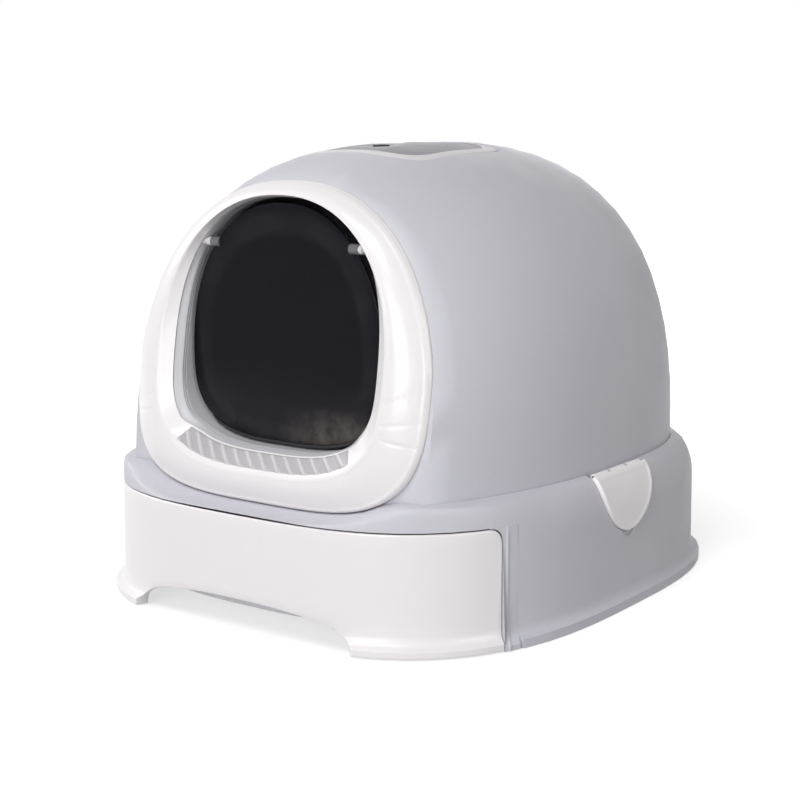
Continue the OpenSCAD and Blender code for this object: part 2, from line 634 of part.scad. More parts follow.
// Gap behind the ring, wider where it hangs in front of the base
function gap_behind(a) = mix(0.25, 1.1, smooth(-sin(a) * 2));
// Point at an X-Z place, standing out from the ring's seat
function off_seat(p, out) = [p[0], seat_y(p[1]) - out, p[1]];
return_out = sleeve_front + 0.3;
// How far the crest stands outside the tunnel
function crest_gap(a) = norm(crest_point(a) - tunnel_point(a, 0));
function ring_section(a) =
    let (
        o = ring_outer(a),
        c = crest_point(a),
        t = tunnel_point(a, 0.8),
        back = tunnel_point(a, tunnel_t + 1),
        under = tunnel_point(a, max(tunnel_t + 1, crest_gap(a) - ring_t))
    )
    [
        off_seat(o, gap_behind(a)),
        off_seat(o, rim_out(a)),
        off_seat(mix(o, c, 0.06), face_out(a, 0.1)),
        off_seat(mix(o, c, 0.25), face_out(a, 0.25)),
        off_seat(mix(o, c, 0.5), face_out(a, 0.5)),
        off_seat(mix(o, c, 0.75), face_out(a, 0.75)),
        off_seat(mix(o, c, 0.93), face_out(a, 0.95)),
        off_seat(c, crest_out),
        off_seat(mix(c, t, 0.15), crest_out - 0.6),
        off_seat(mix(c, t, 0.55), mix(return_out, crest_out, 0.55)),
        off_seat(t, return_out),
        off_seat(back, return_out),
        off_seat(under, crest_out - ring_t - 1.4),
        off_seat(mix(o, c, 0.75), face_out(a, 0.75) - ring_t),
        off_seat(mix(o, c, 0.4), face_out(a, 0.4) - ring_t),
        off_seat(mix(o, c, 0.14), gap_behind(a))
    ];
// Top of a screw boss, inside the wall of the ring's return or of its face
function boss_out(a) = crest_gap(a) > ring_screw_grow ? return_out + 1.1 : crest_out - ring_t - 0.4;
module entry_ring() {
    color([0.95, 0.94, 0.94]) difference() {
        union() {
            skin([for (k = [0 : RING_STEPS - 1]) ring_section(90 - 360 * (k + 0.5) / RING_STEPS)], loop = true);
            for (a = RING_SCREWS) at_one_screw(a) rotate([90, 0, 0])
                translate([0, 0, seat_gap]) cylinder(r = 3.6, h = boss_out(a) - seat_gap, $fn = 32);
        }
        for (a = RING_SCREWS) at_one_screw(a) rotate([90, 0, 0])
            translate([0, 0, -1]) cylinder(r = 1.75 + pin_gap, h = 10, $fn = 32);
    }
}
flange_t_rear = 3;
ring_screw_back = wall + 0.3 + flange_t_rear;
module ring_screws() {
    color([0.75, 0.75, 0.77]) for (a = RING_SCREWS) at_one_screw(a) rotate([90, 0, 0]) {
        translate([0, 0, -ring_screw_back - 0.5]) cylinder(r = 1.75, h = ring_screw_back + 8, $fn = 32);
        translate([0, 0, -ring_screw_back - 2]) cylinder(r = 3.3, h = 2, $fn = 32);
    }
}

flap_hw = tunnel_hw - flap_gap;
flap_top = tunnel_up - 3.7;
flap_down = tunnel_down - flap_lift;
FLAP_TOP_POW = 2.15;
eye_out = flap_hw * se(pivot_up / flap_top, FLAP_TOP_POW) + 4.8;   // outer end of the flap's eye
eye_in = eye_out - 9;
flap_pin_tip = eye_in + 1;       // inner end of a pivot pin
eye_r = flap_pin_r + 2;
collar_r = flap_pin_r + 1.3;
module tunnel_liner() {
    color([0.8, 0.81, 0.84]) difference() {
        union() {
            difference() {
                intersection() {
                    along_y(ring_y - 60, tunnel_rear_y) tunnel_outline(tunnel_t);
                    seat_slab(-sleeve_front, tunnel_len);
                }
                along_y(ring_y - 80, ring_y + 80) tunnel_outline(0);
            }
            // flange behind the hood's front wall
            intersection() {
                difference() {
                    along_y(ring_y - 60, ring_y + 60) tunnel_outline(tunnel_t + flange_w);
                    along_y(ring_y - 61, ring_y + 61) tunnel_outline(1);
                }
                seat_slab(wall + 0.3, ring_screw_back);
                // lower at the top, where the hood turns in
                block([-300, -400, 0], [300, 0, ring_z + tunnel_up + tunnel_t - 1.5]);
            }
            for (a = RING_SCREWS) at_one_screw(a) rotate([-90, 0, 0])
                translate([0, 0, wall + 0.3]) cylinder(r = 4.3, h = flange_t_rear, $fn = 32);
        }
        for (a = RING_SCREWS) at_one_screw(a) rotate([-90, 0, 0])
            cylinder(r = 1.75 + pin_gap, h = 20, $fn = 32);
        both_sides() rod_x(flap_pin_tip, tunnel_hw + 20, pivot_y, pivot_z, flap_pin_r + pin_gap);
        along_y(ring_y - 81, ring_y + 81) tunnel_outline(0);
    }
}

// Sill tread: a sheet on the tunnel's floor that rises towards the flap, with slanting ribs on it
tread_front_y = ring_y - crest_out - (crest_down - 4) * ring_lean + 3;
tread_rear_y = pivot_y + 11;
tread_low = ring_z - tunnel_down + 2.4;
tread_high = ring_z - tunnel_down + 6;
tread_hw = tunnel_hw * 0.82;
TREAD_RIBS = 10;         // ribs on each side of the middle one
rib_slant = 44;
// Room between the tunnel's floor and the tread's surface, lowered by drop
module tread_body(drop) {
    intersection() {
        along_y(tread_front_y, tread_rear_y) tunnel_outline(-0.4);
        union() {
            along_x(-tread_hw, tread_hw) polygon([
                [tread_front_y, tread_low - 30], [tread_rear_y, tread_low - 30], [tread_rear_y, tread_high - drop],
                [pivot_y - 4, tread_high - drop], [tread_front_y, tread_low - drop]
            ]);
            difference() {
                block([-tread_hw, tread_front_y, 0], [tread_hw, tread_rear_y, ring_z]);
                along_y(tread_front_y - 1, tread_rear_y + 1) tunnel_outline(-2.4 + drop);
            }
        }
    }
}
module sill_tread() {
    color([0.9, 0.9, 0.92]) union() {
        tread_body(rib_h);
        intersection() {
            tread_body(0);
            for (i = [-TREAD_RIBS : TREAD_RIBS]) translate([i * rib_pitch, pivot_y, 0]) rotate([0, 0, rib_slant])
                block([-rib_w / 2, -60, 0], [rib_w / 2, 60, pivot_z]);
        }
    }
}

module flap_pin() {
    color([0.93, 0.93, 0.94]) {
        rod_x(flap_pin_tip, tunnel_half_at(pivot_z) + tunnel_t, pivot_y, pivot_z, flap_pin_r);
        rod_x(eye_out + hinge_gap, tunnel_half_at(pivot_z + collar_r) - 0.3, pivot_y, pivot_z, collar_r);
    }
}
module flap_pin_right() { flap_pin(); }
module flap_pin_left() { mirror([1, 0, 0]) flap_pin(); }

function flap_point(a, g) =
    let (c = cos(a), s = sin(a), p = s < 0 ? 3 : FLAP_TOP_POW, h = s < 0 ? flap_down : flap_top)
    [sign(c) * (flap_hw + g) * pow(abs(c), 2 / p), ring_z + sign(s) * (h + g) * pow(abs(s), 2 / p)];
module flap_outline(g) { polygon([for (k = [0 : 71]) flap_point(5 * k, g)]); }
module flap_panel() {
    color([0.35, 0.37, 0.4, 0.6]) difference() {
        union() {
            along_y(pivot_y - flap_t / 2, pivot_y + flap_t / 2) flap_outline(0);
            both_sides() rod_x(eye_in, eye_out, pivot_y, pivot_z, eye_r);
        }
        both_sides() rod_x(flap_pin_tip - 1, eye_out + 1, pivot_y, pivot_z, flap_pin_r + pin_gap);
    }
}
module flap_sweep() {
    color([0.15, 0.15, 0.16]) difference() {
        along_y(pivot_y - flap_t / 2 - 1, pivot_y + flap_t / 2 + 1) intersection() {
            difference() {
                translate([0, -sweep_h]) flap_outline(0);
                flap_outline(0.05);
            }
            translate([-flap_hw * 0.8, ring_z - 200]) square([flap_hw * 1.6, 200 - flap_down * 0.7]);
        }
    }
}

module latch() {
    difference() {
        union() {
            intersection() {
                along_y(-latch_w / 2 - 1, latch_w / 2 + 1) latch_profile(-latch_sink, latch_t - latch_sink);
                along_x(base_hw - 30, base_hw + 30) latch_outline(0);
            }
            rod_y(-latch_barrel_hw, latch_barrel_hw, latch_pin_x, latch_pin_z, latch_barrel_r);
        }
        rod_y(-latch_w, latch_w, latch_pin_x, latch_pin_z, latch_pin_r + pin_gap);
        // slots for the hood's lugs
        for (y = [lug_y - hinge_gap, -lug_y - lug_w - hinge_gap])
            rod_y(y, y + lug_w + 2 * hinge_gap, latch_pin_x, latch_pin_z, latch_barrel_r + 0.1);
    }
}
module latch_right() { color([0.94, 0.93, 0.93]) latch(); }
module latch_left() { color([0.94, 0.93, 0.93]) mirror([1, 0, 0]) latch(); }
module latch_pin() {
    color([0.8, 0.8, 0.82])
        rod_y(-latch_barrel_hw + 2, latch_barrel_hw - 2, latch_pin_x, latch_pin_z, latch_pin_r);
}
module latch_pin_right() { latch_pin(); }
module latch_pin_left() { mirror([1, 0, 0]) latch_pin(); }

// ---------------------------------------------------------------- deodoriser in the top

filter_y1 = 26;          // back face of the filter box
filter_t = 1.6;
flange_out = 5;          // width of the filter box's side flanges
flange_t = 1.5;
module filter_box() {
    y0 = filter_y1 - filter_len;
    color([0.85, 0.85, 0.87]) difference() {
        union() {
            block([-filter_hw - flange_out, y0, cassette_z - flange_t], [filter_hw + flange_out, filter_y1, cassette_z]);
            block([-filter_hw, y0, cassette_z - filter_deep], [filter_hw, filter_y1, cassette_z]);
        }
        block([-filter_hw + filter_t, y0 + filter_t, cassette_z - filter_deep + filter_t],
            [filter_hw - filter_t, filter_y1 - filter_t, total_h]);
        // slots in the floor
        for (i = [0 : 8]) block([-filter_hw + 6 + i * 7, y0 + 6, cassette_z - filter_deep - 1],
            [-filter_hw + 9 + i * 7, filter_y1 - 6, cassette_z - filter_deep + 3]);
    }
}
module carbon_filter() {
    g = filter_t + seat_gap;
    z0 = cassette_z - filter_deep + filter_t;
    color([0.14, 0.14, 0.15])
        block([-filter_hw + g, filter_y1 - filter_len + g, z0], [filter_hw - g, filter_y1 - g, z0 + pad_t]);
}
module lid_pin() {
    color([0.8, 0.8, 0.82]) rod_x(-lid_lug_x - lid_lug_w, lid_lug_x + lid_lug_w, lid_pin_y, lid_pin_z, lid_pin_r);
}
module lid_plate() {
    x1 = filter_hw + flange_out;
    y0 = filter_y1 - filter_len;
    color([0.9, 0.9, 0.91]) difference() {
        union() {
            lid_skin();
            both_sides() {
                rod_x(knuckle_x, lid_lug_x - hinge_gap, lid_pin_y, lid_pin_z, knuckle_r);
                block([knuckle_x, lid_rear - 4, lid_flat_z - lid_t + 0.5], [lid_lug_x - hinge_gap, lid_pin_y, lid_pin_z + 1.2]);
                // rails that the filter box slides in
                block([x1 + 0.3, y0, cassette_z - flange_t - 2], [x1 + 2.3, filter_y1, lid_flat_z - lid_t + 0.2]);
                block([x1 - 3, y0, cassette_z - flange_t - 2], [x1 + 2.3, filter_y1, cassette_z - flange_t]);
            }
        }
        rod_x(-lid_lug_x, lid_lug_x, lid_pin_y, lid_pin_z, lid_pin_r + pin_gap);
        translate([0, finger_y, lid_flat_z - 10]) cylinder(r = finger_r, h = 20, $fn = 48);
    }
}

base_housing();
drawer_rail_left();
drawer_rail_right();
rail_screws();
drawer_pan();
drawer_front();
drawer_screws();
hood_shell();
entry_ring();
tunnel_liner();
ring_screws();
sill_tread();
flap_pin_left();
flap_pin_right();
latch_pin_left();
latch_pin_right();
filter_box();
carbon_filter();
lid_pin();
flap_panel();
flap_sweep();
latch_left();
latch_right();
lid_plate();
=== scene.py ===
import math

import bmesh
import bpy
from mathutils import Matrix, Vector


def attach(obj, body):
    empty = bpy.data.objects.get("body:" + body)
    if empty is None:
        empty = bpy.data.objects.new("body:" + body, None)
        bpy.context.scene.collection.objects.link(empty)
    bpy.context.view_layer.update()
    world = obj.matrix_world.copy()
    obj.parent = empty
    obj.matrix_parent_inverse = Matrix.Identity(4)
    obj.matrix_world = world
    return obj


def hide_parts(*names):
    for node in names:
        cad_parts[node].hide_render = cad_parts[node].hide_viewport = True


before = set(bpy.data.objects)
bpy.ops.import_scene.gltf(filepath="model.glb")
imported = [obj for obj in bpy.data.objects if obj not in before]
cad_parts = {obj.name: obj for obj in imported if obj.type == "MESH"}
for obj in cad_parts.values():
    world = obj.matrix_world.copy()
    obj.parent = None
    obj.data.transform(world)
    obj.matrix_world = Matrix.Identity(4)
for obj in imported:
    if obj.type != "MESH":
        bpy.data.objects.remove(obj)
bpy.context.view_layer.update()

# ---------------------------------------------------------------- the source's values, in mm

BASE_HW, BASE_HD, BASE_POW = 220.0, 257.5, 3.05
WALL, WALL_LEAN = 3.0, 1.0
SHOULDER_Z, SEAM_Z, TOTAL_H = 80.0, 118.0, 391.0
HOOD_HW, HOOD_FRONT, HOOD_REAR, HOOD_Z0 = 203.0, 299.5, 240.5, 120.0
# powers of the hood: of its side, front and rear profiles, and of its plan in front and behind
HOOD_SIDE_POW, HOOD_FRONT_POW, HOOD_REAR_POW = 2.43, 2.54, 2.9
FRONT_PLAN_POW, REAR_PLAN_POW = 2.22, 2.86
FOOT_H, FOOT_FLARE, FILLET_H = 7.5, 7.0, 9.5
RING_Y, RING_Z, RING_LEAN, RING_DOWN, RING_LOW_POW = -197.1, 216.0, 0.15, 116.0, 3.6
CREST_OUT, CREST_DOWN, CREST_HW, RING_T = 18.6, 90.4, 120.0, 2.8
CREST_TOP_POW, CREST_LOW_POW = 2.16, 3.14
RING_TOP_W, CEILING_DROP = 11.4, 2.5
TUNNEL_HW, TUNNEL_T, TUNNEL_LEN = 103.5, 3.0, 30.0
TUNNEL_TOP_POW, TUNNEL_LOW_POW = 2.6, 3.1
CAD_TUNNEL_DOWN, FLOOR_DOWN = 88.0, 73.5
PIVOT_Y, PIVOT_Z = -189.5, 309.033
TUNNEL_REAR_Y = PIVOT_Y + 22
FLAP_HW, FLAP_TOP, FLAP_DOWN = 101.0, 127.533, 69.5
FLAP_TOP_POW, FLAP_LOW_POW = 2.15, 3.0
EYE_OUT, EYE_IN, EYE_R = 77.5, 68.5, 4.4
LID_HW, LID_HD, LID_MID_Y, LID_POW = 72.0, 73.0, -33.0, 5
SIDES = ((-1, "left"), (1, "right"))


def se(u, p):
    """Share left of a half width at height share u, for a superellipse of power p."""
    return max(0.0, 1 - min(1.0, abs(u)) ** p) ** (1 / p)


def polar_r(a, w, d, p):
    """Radius at the angle a of a superellipse of half sizes w and d and power p."""
    return ((abs(math.cos(a)) / w) ** p + (abs(math.sin(a)) / d) ** p) ** (-1 / p)


def mix(a, b, t):
    return a + (b - a) * t


def ease(t):
    c = max(0.0, min(1.0, t))
    return c * c * (3 - 2 * c)


def seat_y(z):
    return RING_Y + RING_LEAN * (z - RING_Z)


def hood_share(z):
    """Share of the hood's height at z."""
    return max(0.0, (z - HOOD_Z0) / (TOTAL_H - HOOD_Z0))


def seat_half(z):
    """Half width of the ring's seat at height z."""
    u = hood_share(z)
    front = HOOD_FRONT * se(u, HOOD_FRONT_POW)
    y = -seat_y(z)
    return HOOD_HW * se(u, HOOD_SIDE_POW) * se(y / front, FRONT_PLAN_POW) if y < front else 0.0


def seat_top():
    lo, hi = RING_Z, TOTAL_H
    for _ in range(40):
        z = (lo + hi) / 2
        lo, hi = (z, hi) if seat_half(z) > 0 else (lo, z)
    return lo


RING_TOP_Z = seat_top()
RING_HW = seat_half(RING_Z)
CREST_UP = RING_TOP_Z - RING_Z - RING_TOP_W
TUNNEL_UP = CREST_UP - CEILING_DROP


def oval(a, hw, up, down, up_pow, down_pow, grow=0.0):
    """Point (x, z) of an outline of two superellipses, above and below the entry's middle."""
    c, s = math.cos(a), math.sin(a)
    p, h = (down_pow, down) if s < 0 else (up_pow, up)
    return Vector((
        math.copysign((hw + grow) * abs(c) ** (2 / p), c),
        RING_Z + math.copysign((h + grow) * abs(s) ** (2 / p), s)))


def ring_outer(a):
    c, s = math.cos(a), math.sin(a)
    if s >= 0:
        z = RING_Z + (RING_TOP_Z - RING_Z) * s
        return Vector((math.copysign(seat_half(z), c), z))
    return Vector((
        math.copysign(RING_HW * abs(c) ** (2 / RING_LOW_POW), c),
        RING_Z - RING_DOWN * abs(s) ** (2 / RING_LOW_POW)))


def crest_point(a):
    return oval(a, CREST_HW, CREST_UP, CREST_DOWN, CREST_TOP_POW, CREST_LOW_POW)


def floor_point(a, grow=0.0):
    """Inner outline of the tunnel, with its floor just under the flap."""
    return oval(a, TUNNEL_HW, TUNNEL_UP, FLOOR_DOWN, TUNNEL_TOP_POW, TUNNEL_LOW_POW, grow)


def lowness(a):
    return ease((-math.sin(a) - 0.55) / 0.3)


def joint_out(a):
    """How far the joint between ring and tunnel stands out from the seat."""
    return mix(10.0, 4.0, lowness(a))


def joint_point(a):
    t = floor_point(a)
    return t + (crest_point(a) - t) * mix(0.25, 0.08, lowness(a))


def off_seat(p, out):
    return Vector((p[0], seat_y(p[1]) - out, p[1]))


# ---------------------------------------------------------------- mesh building

WELD = 0.02


def piece(name, verts, faces, body, look, replaces=(), second=None):
    """A named piece from points in millimetres, riding on a body.

    second is (material, test of a face's middle).
    """
    bm = bmesh.new()
    made = [bm.verts.new(Vector(v) / 1000) for v in verts]
    for f in faces:
        if len(set(f)) > 2:
            bm.faces.new([made[i] for i in f])
    bmesh.ops.remove_doubles(bm, verts=bm.verts, dist=WELD / 1000)
    bmesh.ops.recalc_face_normals(bm, faces=bm.faces)
    mesh = bpy.data.meshes.new(name)
    bm.to_mesh(mesh)
    bm.free()
    obj = bpy.data.objects.new(name, mesh)
    bpy.context.scene.collection.objects.link(obj)
    mesh.materials.append(look)
    if second:
        mesh.materials.append(second[0])
        for face in mesh.polygons:
            face.material_index = int(second[1](face.center * 1000))
    obj.modifiers.new("smooth", "NODES").node_group = SMOOTH
    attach(obj, body)
    if replaces:
        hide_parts(*replaces)


def loft(rings, loop=False):
    """Points and faces of a closed skin through rings of points. An open stack gets flat ends."""
    n, m = len(rings[0]), len(rings)
    verts = [p for r in rings for p in r]
    faces = []
    for i in range(m if loop else m - 1):
        j = (i + 1) % m
        for k in range(n):
            after = (k + 1) % n
            faces.append([i * n + k, i * n + after, j * n + after, j * n + k])
    if not loop:
        faces.append(list(range(n))[::-1])
        faces.append(list(range((m - 1) * n, m * n)))
    return verts, faces


def joined(parts):
    verts, faces = [], []
    for v, f in parts:
        faces += [[len(verts) + i for i in face] for face in f]
        verts += v
    return verts, faces


def turned(profile, axis, at, steps=48, bored=False):
    """A turned solid: profile gives (place along the axis, radius) from one end to the other."""
    side = Vector((0, 0, 1)) if abs(axis.z) < 0.9 else Vector((1, 0, 0))
    u = axis.cross(side).normalized()
    v = axis.cross(u).normalized()
    turns = [2 * math.pi * k / steps for k in range(steps)]
    return loft([[at + axis * s + (u * math.cos(t) + v * math.sin(t)) * r for t in turns]
                 for s, r in profile], loop=bored)


# ---------------------------------------------------------------- smooth shading

SMOOTH_DEG, HOOD_SMOOTH_DEG = 30, 62


def smooth_group():
    """Joins the split corners, then shades smooth across every edge flatter than the limit."""
    g = bpy.data.node_groups.new("smooth_by_angle", "GeometryNodeTree")
    g.interface.new_socket("Geometry", in_out="INPUT", socket_type="NodeSocketGeometry")
    limit = g.interface.new_socket("Limit", in_out="INPUT", socket_type="NodeSocketFloat")
    limit.default_value = math.radians(SMOOTH_DEG)
    g.interface.new_socket("Geometry", in_out="OUTPUT", socket_type="NodeSocketGeometry")
    start = g.nodes.new("NodeGroupInput")
    end = g.nodes.new("NodeGroupOutput")
    plain = g.nodes.new("GeometryNodeRemoveAttribute")
    plain.inputs["Name"].default_value = "custom_normal"
    weld = g.nodes.new("GeometryNodeMergeByDistance")
    weld.inputs["Distance"].default_value = 0.00001
    faces = g.nodes.new("GeometryNodeSetShadeSmooth")
    faces.domain = "FACE"
    edges = g.nodes.new("GeometryNodeSetShadeSmooth")
    edges.domain = "EDGE"
    angle = g.nodes.new("GeometryNodeInputMeshEdgeAngle")
    flat = g.nodes.new("FunctionNodeCompare")
    flat.operation = "LESS_EQUAL"
    g.links.new(start.outputs["Geometry"], plain.inputs["Geometry"])
    g.links.new(plain.outputs["Geometry"], weld.inputs["Geometry"])
    g.links.new(weld.outputs["Geometry"], faces.inputs["Geometry"])
    g.links.new(faces.outputs["Geometry"], edges.inputs["Geometry"])
    g.links.new(angle.outputs["Unsigned Angle"], flat.inputs["A"])
    g.links.new(start.outputs["Limit"], flat.inputs["B"])
    g.links.new(flat.outputs["Result"], edges.inputs["Shade Smooth"])
    g.links.new(edges.outputs["Geometry"], end.inputs["Geometry"])
    return g


SMOOTH = smooth_group()
LIMIT_SOCKET = SMOOTH.interface.items_tree["Limit"].identifier

# ---------------------------------------------------------------- materials


def noise(tree, coords, scale, detail):
    n = tree.nodes.new("ShaderNodeTexNoise")
    n.inputs["Scale"].default_value = scale
    n.inputs["Detail"].default_value = detail
    tree.links.new(coords, n.inputs["Vector"])
    return n.outputs["Fac"]


def soft_map(tree, value, from_min, from_max, to_min, to_max):
    r = tree.nodes.new("ShaderNodeMapRange")
    r.interpolation_type = "SMOOTHSTEP"
    r.inputs["From Min"].default_value = from_min
    r.inputs["From Max"].default_value = from_max
    r.inputs["To Min"].default_value = to_min
    r.inputs["To Max"].default_value = to_max
    tree.links.new(value, r.inputs["Value"])
    return r.outputs["Result"]


def spread(tree, value, low, high):
    """Turns a noise value into a number from low to high."""
    return soft_map(tree, value, 0.3, 0.7, low, high)


def between(tree, value, low, high):
    """0 below low, 1 above high and soft between, or the other way round if high is smaller."""
    return soft_map(tree, value, low, high, 0.0, 1.0)


def calc(tree, kind, a, b=None):
    """A Math node on sockets or plain numbers."""
    n = tree.nodes.new("ShaderNodeMath")
    n.operation = kind
    for socket, value in zip(n.inputs, (a, b)):
        if isinstance(value, (int, float)):
            socket.default_value = value
        elif value is not None:
            tree.links.new(value, socket)
    return n.outputs["Value"]


def tinted(tree, mask, color):
    """Blends the material's colour towards another where the mask is 1."""
    b = tree.nodes["Principled BSDF"]
    n = tree.nodes.new("ShaderNodeMix")
    n.data_type = "RGBA"
    n.inputs["B"].default_value = (*color, 1)
    tree.links.new(b.inputs["Base Color"].links[0].from_socket, n.inputs["A"])
    tree.links.new(mask, n.inputs["Factor"])
    tree.links.new(n.outputs["Result"], b.inputs["Base Color"])


TINT_SCALE, TINT_DETAIL = 14.0, 4.0


def plastic(name, color, rough, rough_spread, coat=0.0, mottled=0.02, grain=0.0,
            grain_size=0.0007, ripple=0.0, specks=0.0, alpha=1.0, metal=0.0, spec=0.5):
    """Moulded plastic or metal: a cloudy tint, uneven gloss, a grain and a soft ripple.

    WHITE at a roughness of 0.27 with a spread of 0.01 rendered in hard-edged patches, and with
    no spread, or at 0.305 with 0.025, it didn't. The cause isn't known.
    """
    m = bpy.data.materials.new(name)
    m.use_nodes = True
    t = m.node_tree
    b = t.nodes["Principled BSDF"]
    b.inputs["Metallic"].default_value = metal
    b.inputs["Specular IOR Level"].default_value = spec
    b.inputs["Coat Weight"].default_value = coat
    b.inputs["Coat Roughness"].default_value = 0.08
    b.inputs["Alpha"].default_value = alpha
    coords = t.nodes.new("ShaderNodeTexCoord").outputs["Object"]
    tint = t.nodes.new("ShaderNodeMix")
    tint.data_type = "RGBA"
    tint.inputs["A"].default_value = (*[c * (1 - mottled) for c in color], 1)
    tint.inputs["B"].default_value = (*[min(1.0, c * (1 + mottled)) for c in color], 1)
    t.links.new(noise(t, coords, TINT_SCALE, TINT_DETAIL), tint.inputs["Factor"])
    base = tint.outputs["Result"]
    if specks:
        dots = t.nodes.new("ShaderNodeMix")
        dots.data_type = "RGBA"
        dots.inputs["B"].default_value = (*[c * (1 - specks) for c in color], 1)
        t.links.new(base, dots.inputs["A"])
        speckle = spread(t, noise(t, coords, 1 / grain_size, 1.0), 0.0, 0.6)
        t.links.new(speckle, dots.inputs["Factor"])
        base = dots.outputs["Result"]
    t.links.new(base, b.inputs["Base Color"])
    uneven = noise(t, coords, 3 * TINT_SCALE, TINT_DETAIL)
    gloss = spread(t, uneven, rough - rough_spread, rough + rough_spread)
    t.links.new(gloss, b.inputs["Roughness"])
    normal = None
    for strength, size, deep in ((ripple, 0.02, 0.0006), (grain, grain_size, 0.00012)):
        if strength:
            bump = t.nodes.new("ShaderNodeBump")
            bump.inputs["Strength"].default_value = strength
            bump.inputs["Distance"].default_value = deep
            t.links.new(noise(t, coords, 1 / size, 2.0), bump.inputs["Height"])
            if normal:
                t.links.new(normal, bump.inputs["Normal"])
            normal = bump.outputs["Normal"]
    if normal:
        t.links.new(normal, b.inputs["Normal"])
    return m


GREY = plastic("grey_pp", (0.60, 0.595, 0.645), 0.48, 0.05,
               grain=0.35, specks=0.06, mottled=0.012, spec=0.35)
WHITE = plastic("white_gloss", (0.82, 0.795, 0.803), 0.305, 0.025,
                coat=0.2, mottled=0.015, spec=0.4)
LATCH_WHITE = plastic("latch_white", (0.93, 0.90, 0.905), 0.3, 0.02,
                      coat=0.15, mottled=0.012, spec=0.4)
LINER = plastic("liner_grey", (0.62, 0.62, 0.65), 0.34, 0.05, coat=0.1, grain=0.15)
# darker grey for the sheet between the sill's ribs: painted shade between the ribs
SHEET_SHADE = plastic("painted_shade_sheet", (0.44, 0.43, 0.445), 0.45, 0.02, grain=0.1, spec=0.25)
SILL_WHITE = plastic("sill_white", (0.60, 0.585, 0.595), 0.4, 0.02, spec=0.3)
WHITE_MATTE = plastic("white_matte", (0.80, 0.79, 0.80), 0.42, 0.05, grain=0.3)
CLEAR = plastic("clear_lug", (0.17, 0.17, 0.185), 0.15, 0.04, coat=0.3, alpha=0.7)
PEG = plastic("white_peg", (0.66, 0.65, 0.655), 0.2, 0.04, coat=0.4)
RUBBER = plastic("sweep_rubber", (0.02, 0.02, 0.022), 0.6, 0.06, grain=0.5, mottled=0.1)
FELT = plastic("carbon_felt", (0.022, 0.022, 0.024), 0.95, 0.03,
               grain=1.0, grain_size=0.0016, mottled=0.3, specks=0.5)
STEEL = plastic("screw_steel", (0.55, 0.55, 0.56), 0.36, 0.08,
                grain=0.3, metal=1.0, mottled=0.05)


def lid_finish_painted_shade():
    """White plastic with a dark grey middle inside the rim, a painted shade for the lid's recess:
    the rim runs round the lid.
    """
    m = plastic("lid_white_painted_shade_middle", (0.76, 0.735, 0.74), 0.5, 0.04, grain=0.2, spec=0.15)
    t = m.node_tree
    place = t.nodes.new("ShaderNodeSeparateXYZ")
    t.links.new(t.nodes.new("ShaderNodeTexCoord").outputs["Object"], place.inputs["Vector"])
    middle = calc(t, "SUBTRACT", place.outputs["Y"], LID_MID_Y / 1000)
    powers = []
    for off, half in ((place.outputs["X"], LID_HW), (middle, LID_HD)):
        share = calc(t, "ABSOLUTE", calc(t, "DIVIDE", off, half / 1000))
        powers.append(calc(t, "POWER", share, LID_POW))
    # painted shade: the middle inside the rim is tinted dark grey to stand in for the shade in the
    # lid's recess
    tinted(t, between(t, calc(t, "ADD", *powers), 0.50, 0.44), (0.30, 0.295, 0.32))
    return m


# the lid's material, with painted shade in its middle
LID_PAINTED_SHADE = lid_finish_painted_shade()
BAND_POW = 2.4  # of the outline that the flap's light band follows


def flap_finish():
    """Smoked plastic: a light band inside the edge, cloudy wear below, dust in a lower corner."""
    m = plastic("smoked_flap", (0.0065, 0.006, 0.0095), 0.22, 0.03,
                mottled=0.2, ripple=0.04, alpha=0.95, spec=0.07)
    t = m.node_tree
    coords = t.nodes.new("ShaderNodeTexCoord").outputs["Object"]
    place = t.nodes.new("ShaderNodeSeparateXYZ")
    t.links.new(coords, place.inputs["Vector"])

    def times(a, b):
        return calc(t, "MULTIPLY", a, b)

    x, up = place.outputs["X"], calc(t, "SUBTRACT", place.outputs["Z"], RING_Z / 1000)
    rise = calc(t, "MAXIMUM", calc(t, "DIVIDE", up, FLAP_TOP / 1000),
                calc(t, "DIVIDE", up, -FLAP_DOWN / 1000))
    wide = calc(t, "ABSOLUTE", calc(t, "DIVIDE", x, FLAP_HW / 1000))
    # share of the way from the flap's middle to its edge
    both = calc(t, "ADD", calc(t, "POWER", wide, BAND_POW), calc(t, "POWER", rise, BAND_POW))
    share = calc(t, "POWER", both, 1 / BAND_POW)
    band = times(between(t, share, 0.76, 0.84), between(t, share, 0.97, 0.91))
    clouds = spread(t, noise(t, coords, 30.0, 4.0), 0.35, 1.0)
    tinted(t, times(times(band, clouds), 0.75), (0.017, 0.0165, 0.021))
    low = between(t, up, 0.0, -0.06)
    tinted(t, times(times(low, clouds), 0.8), (0.026, 0.025, 0.029))
    dx = calc(t, "DIVIDE", calc(t, "SUBTRACT", x, 0.060), 0.055)
    dz = calc(t, "DIVIDE", calc(t, "ADD", up, 0.062), 0.022)
    near = calc(t, "SQRT", calc(t, "ADD", times(dx, dx), times(dz, dz)))
    dust = spread(t, noise(t, coords, 90.0, 5.0), 0.3, 1.0)
    tinted(t, times(between(t, near, 1.35, 0.3), dust), (0.085, 0.075, 0.07))
    return m


SMOKE = flap_finish()

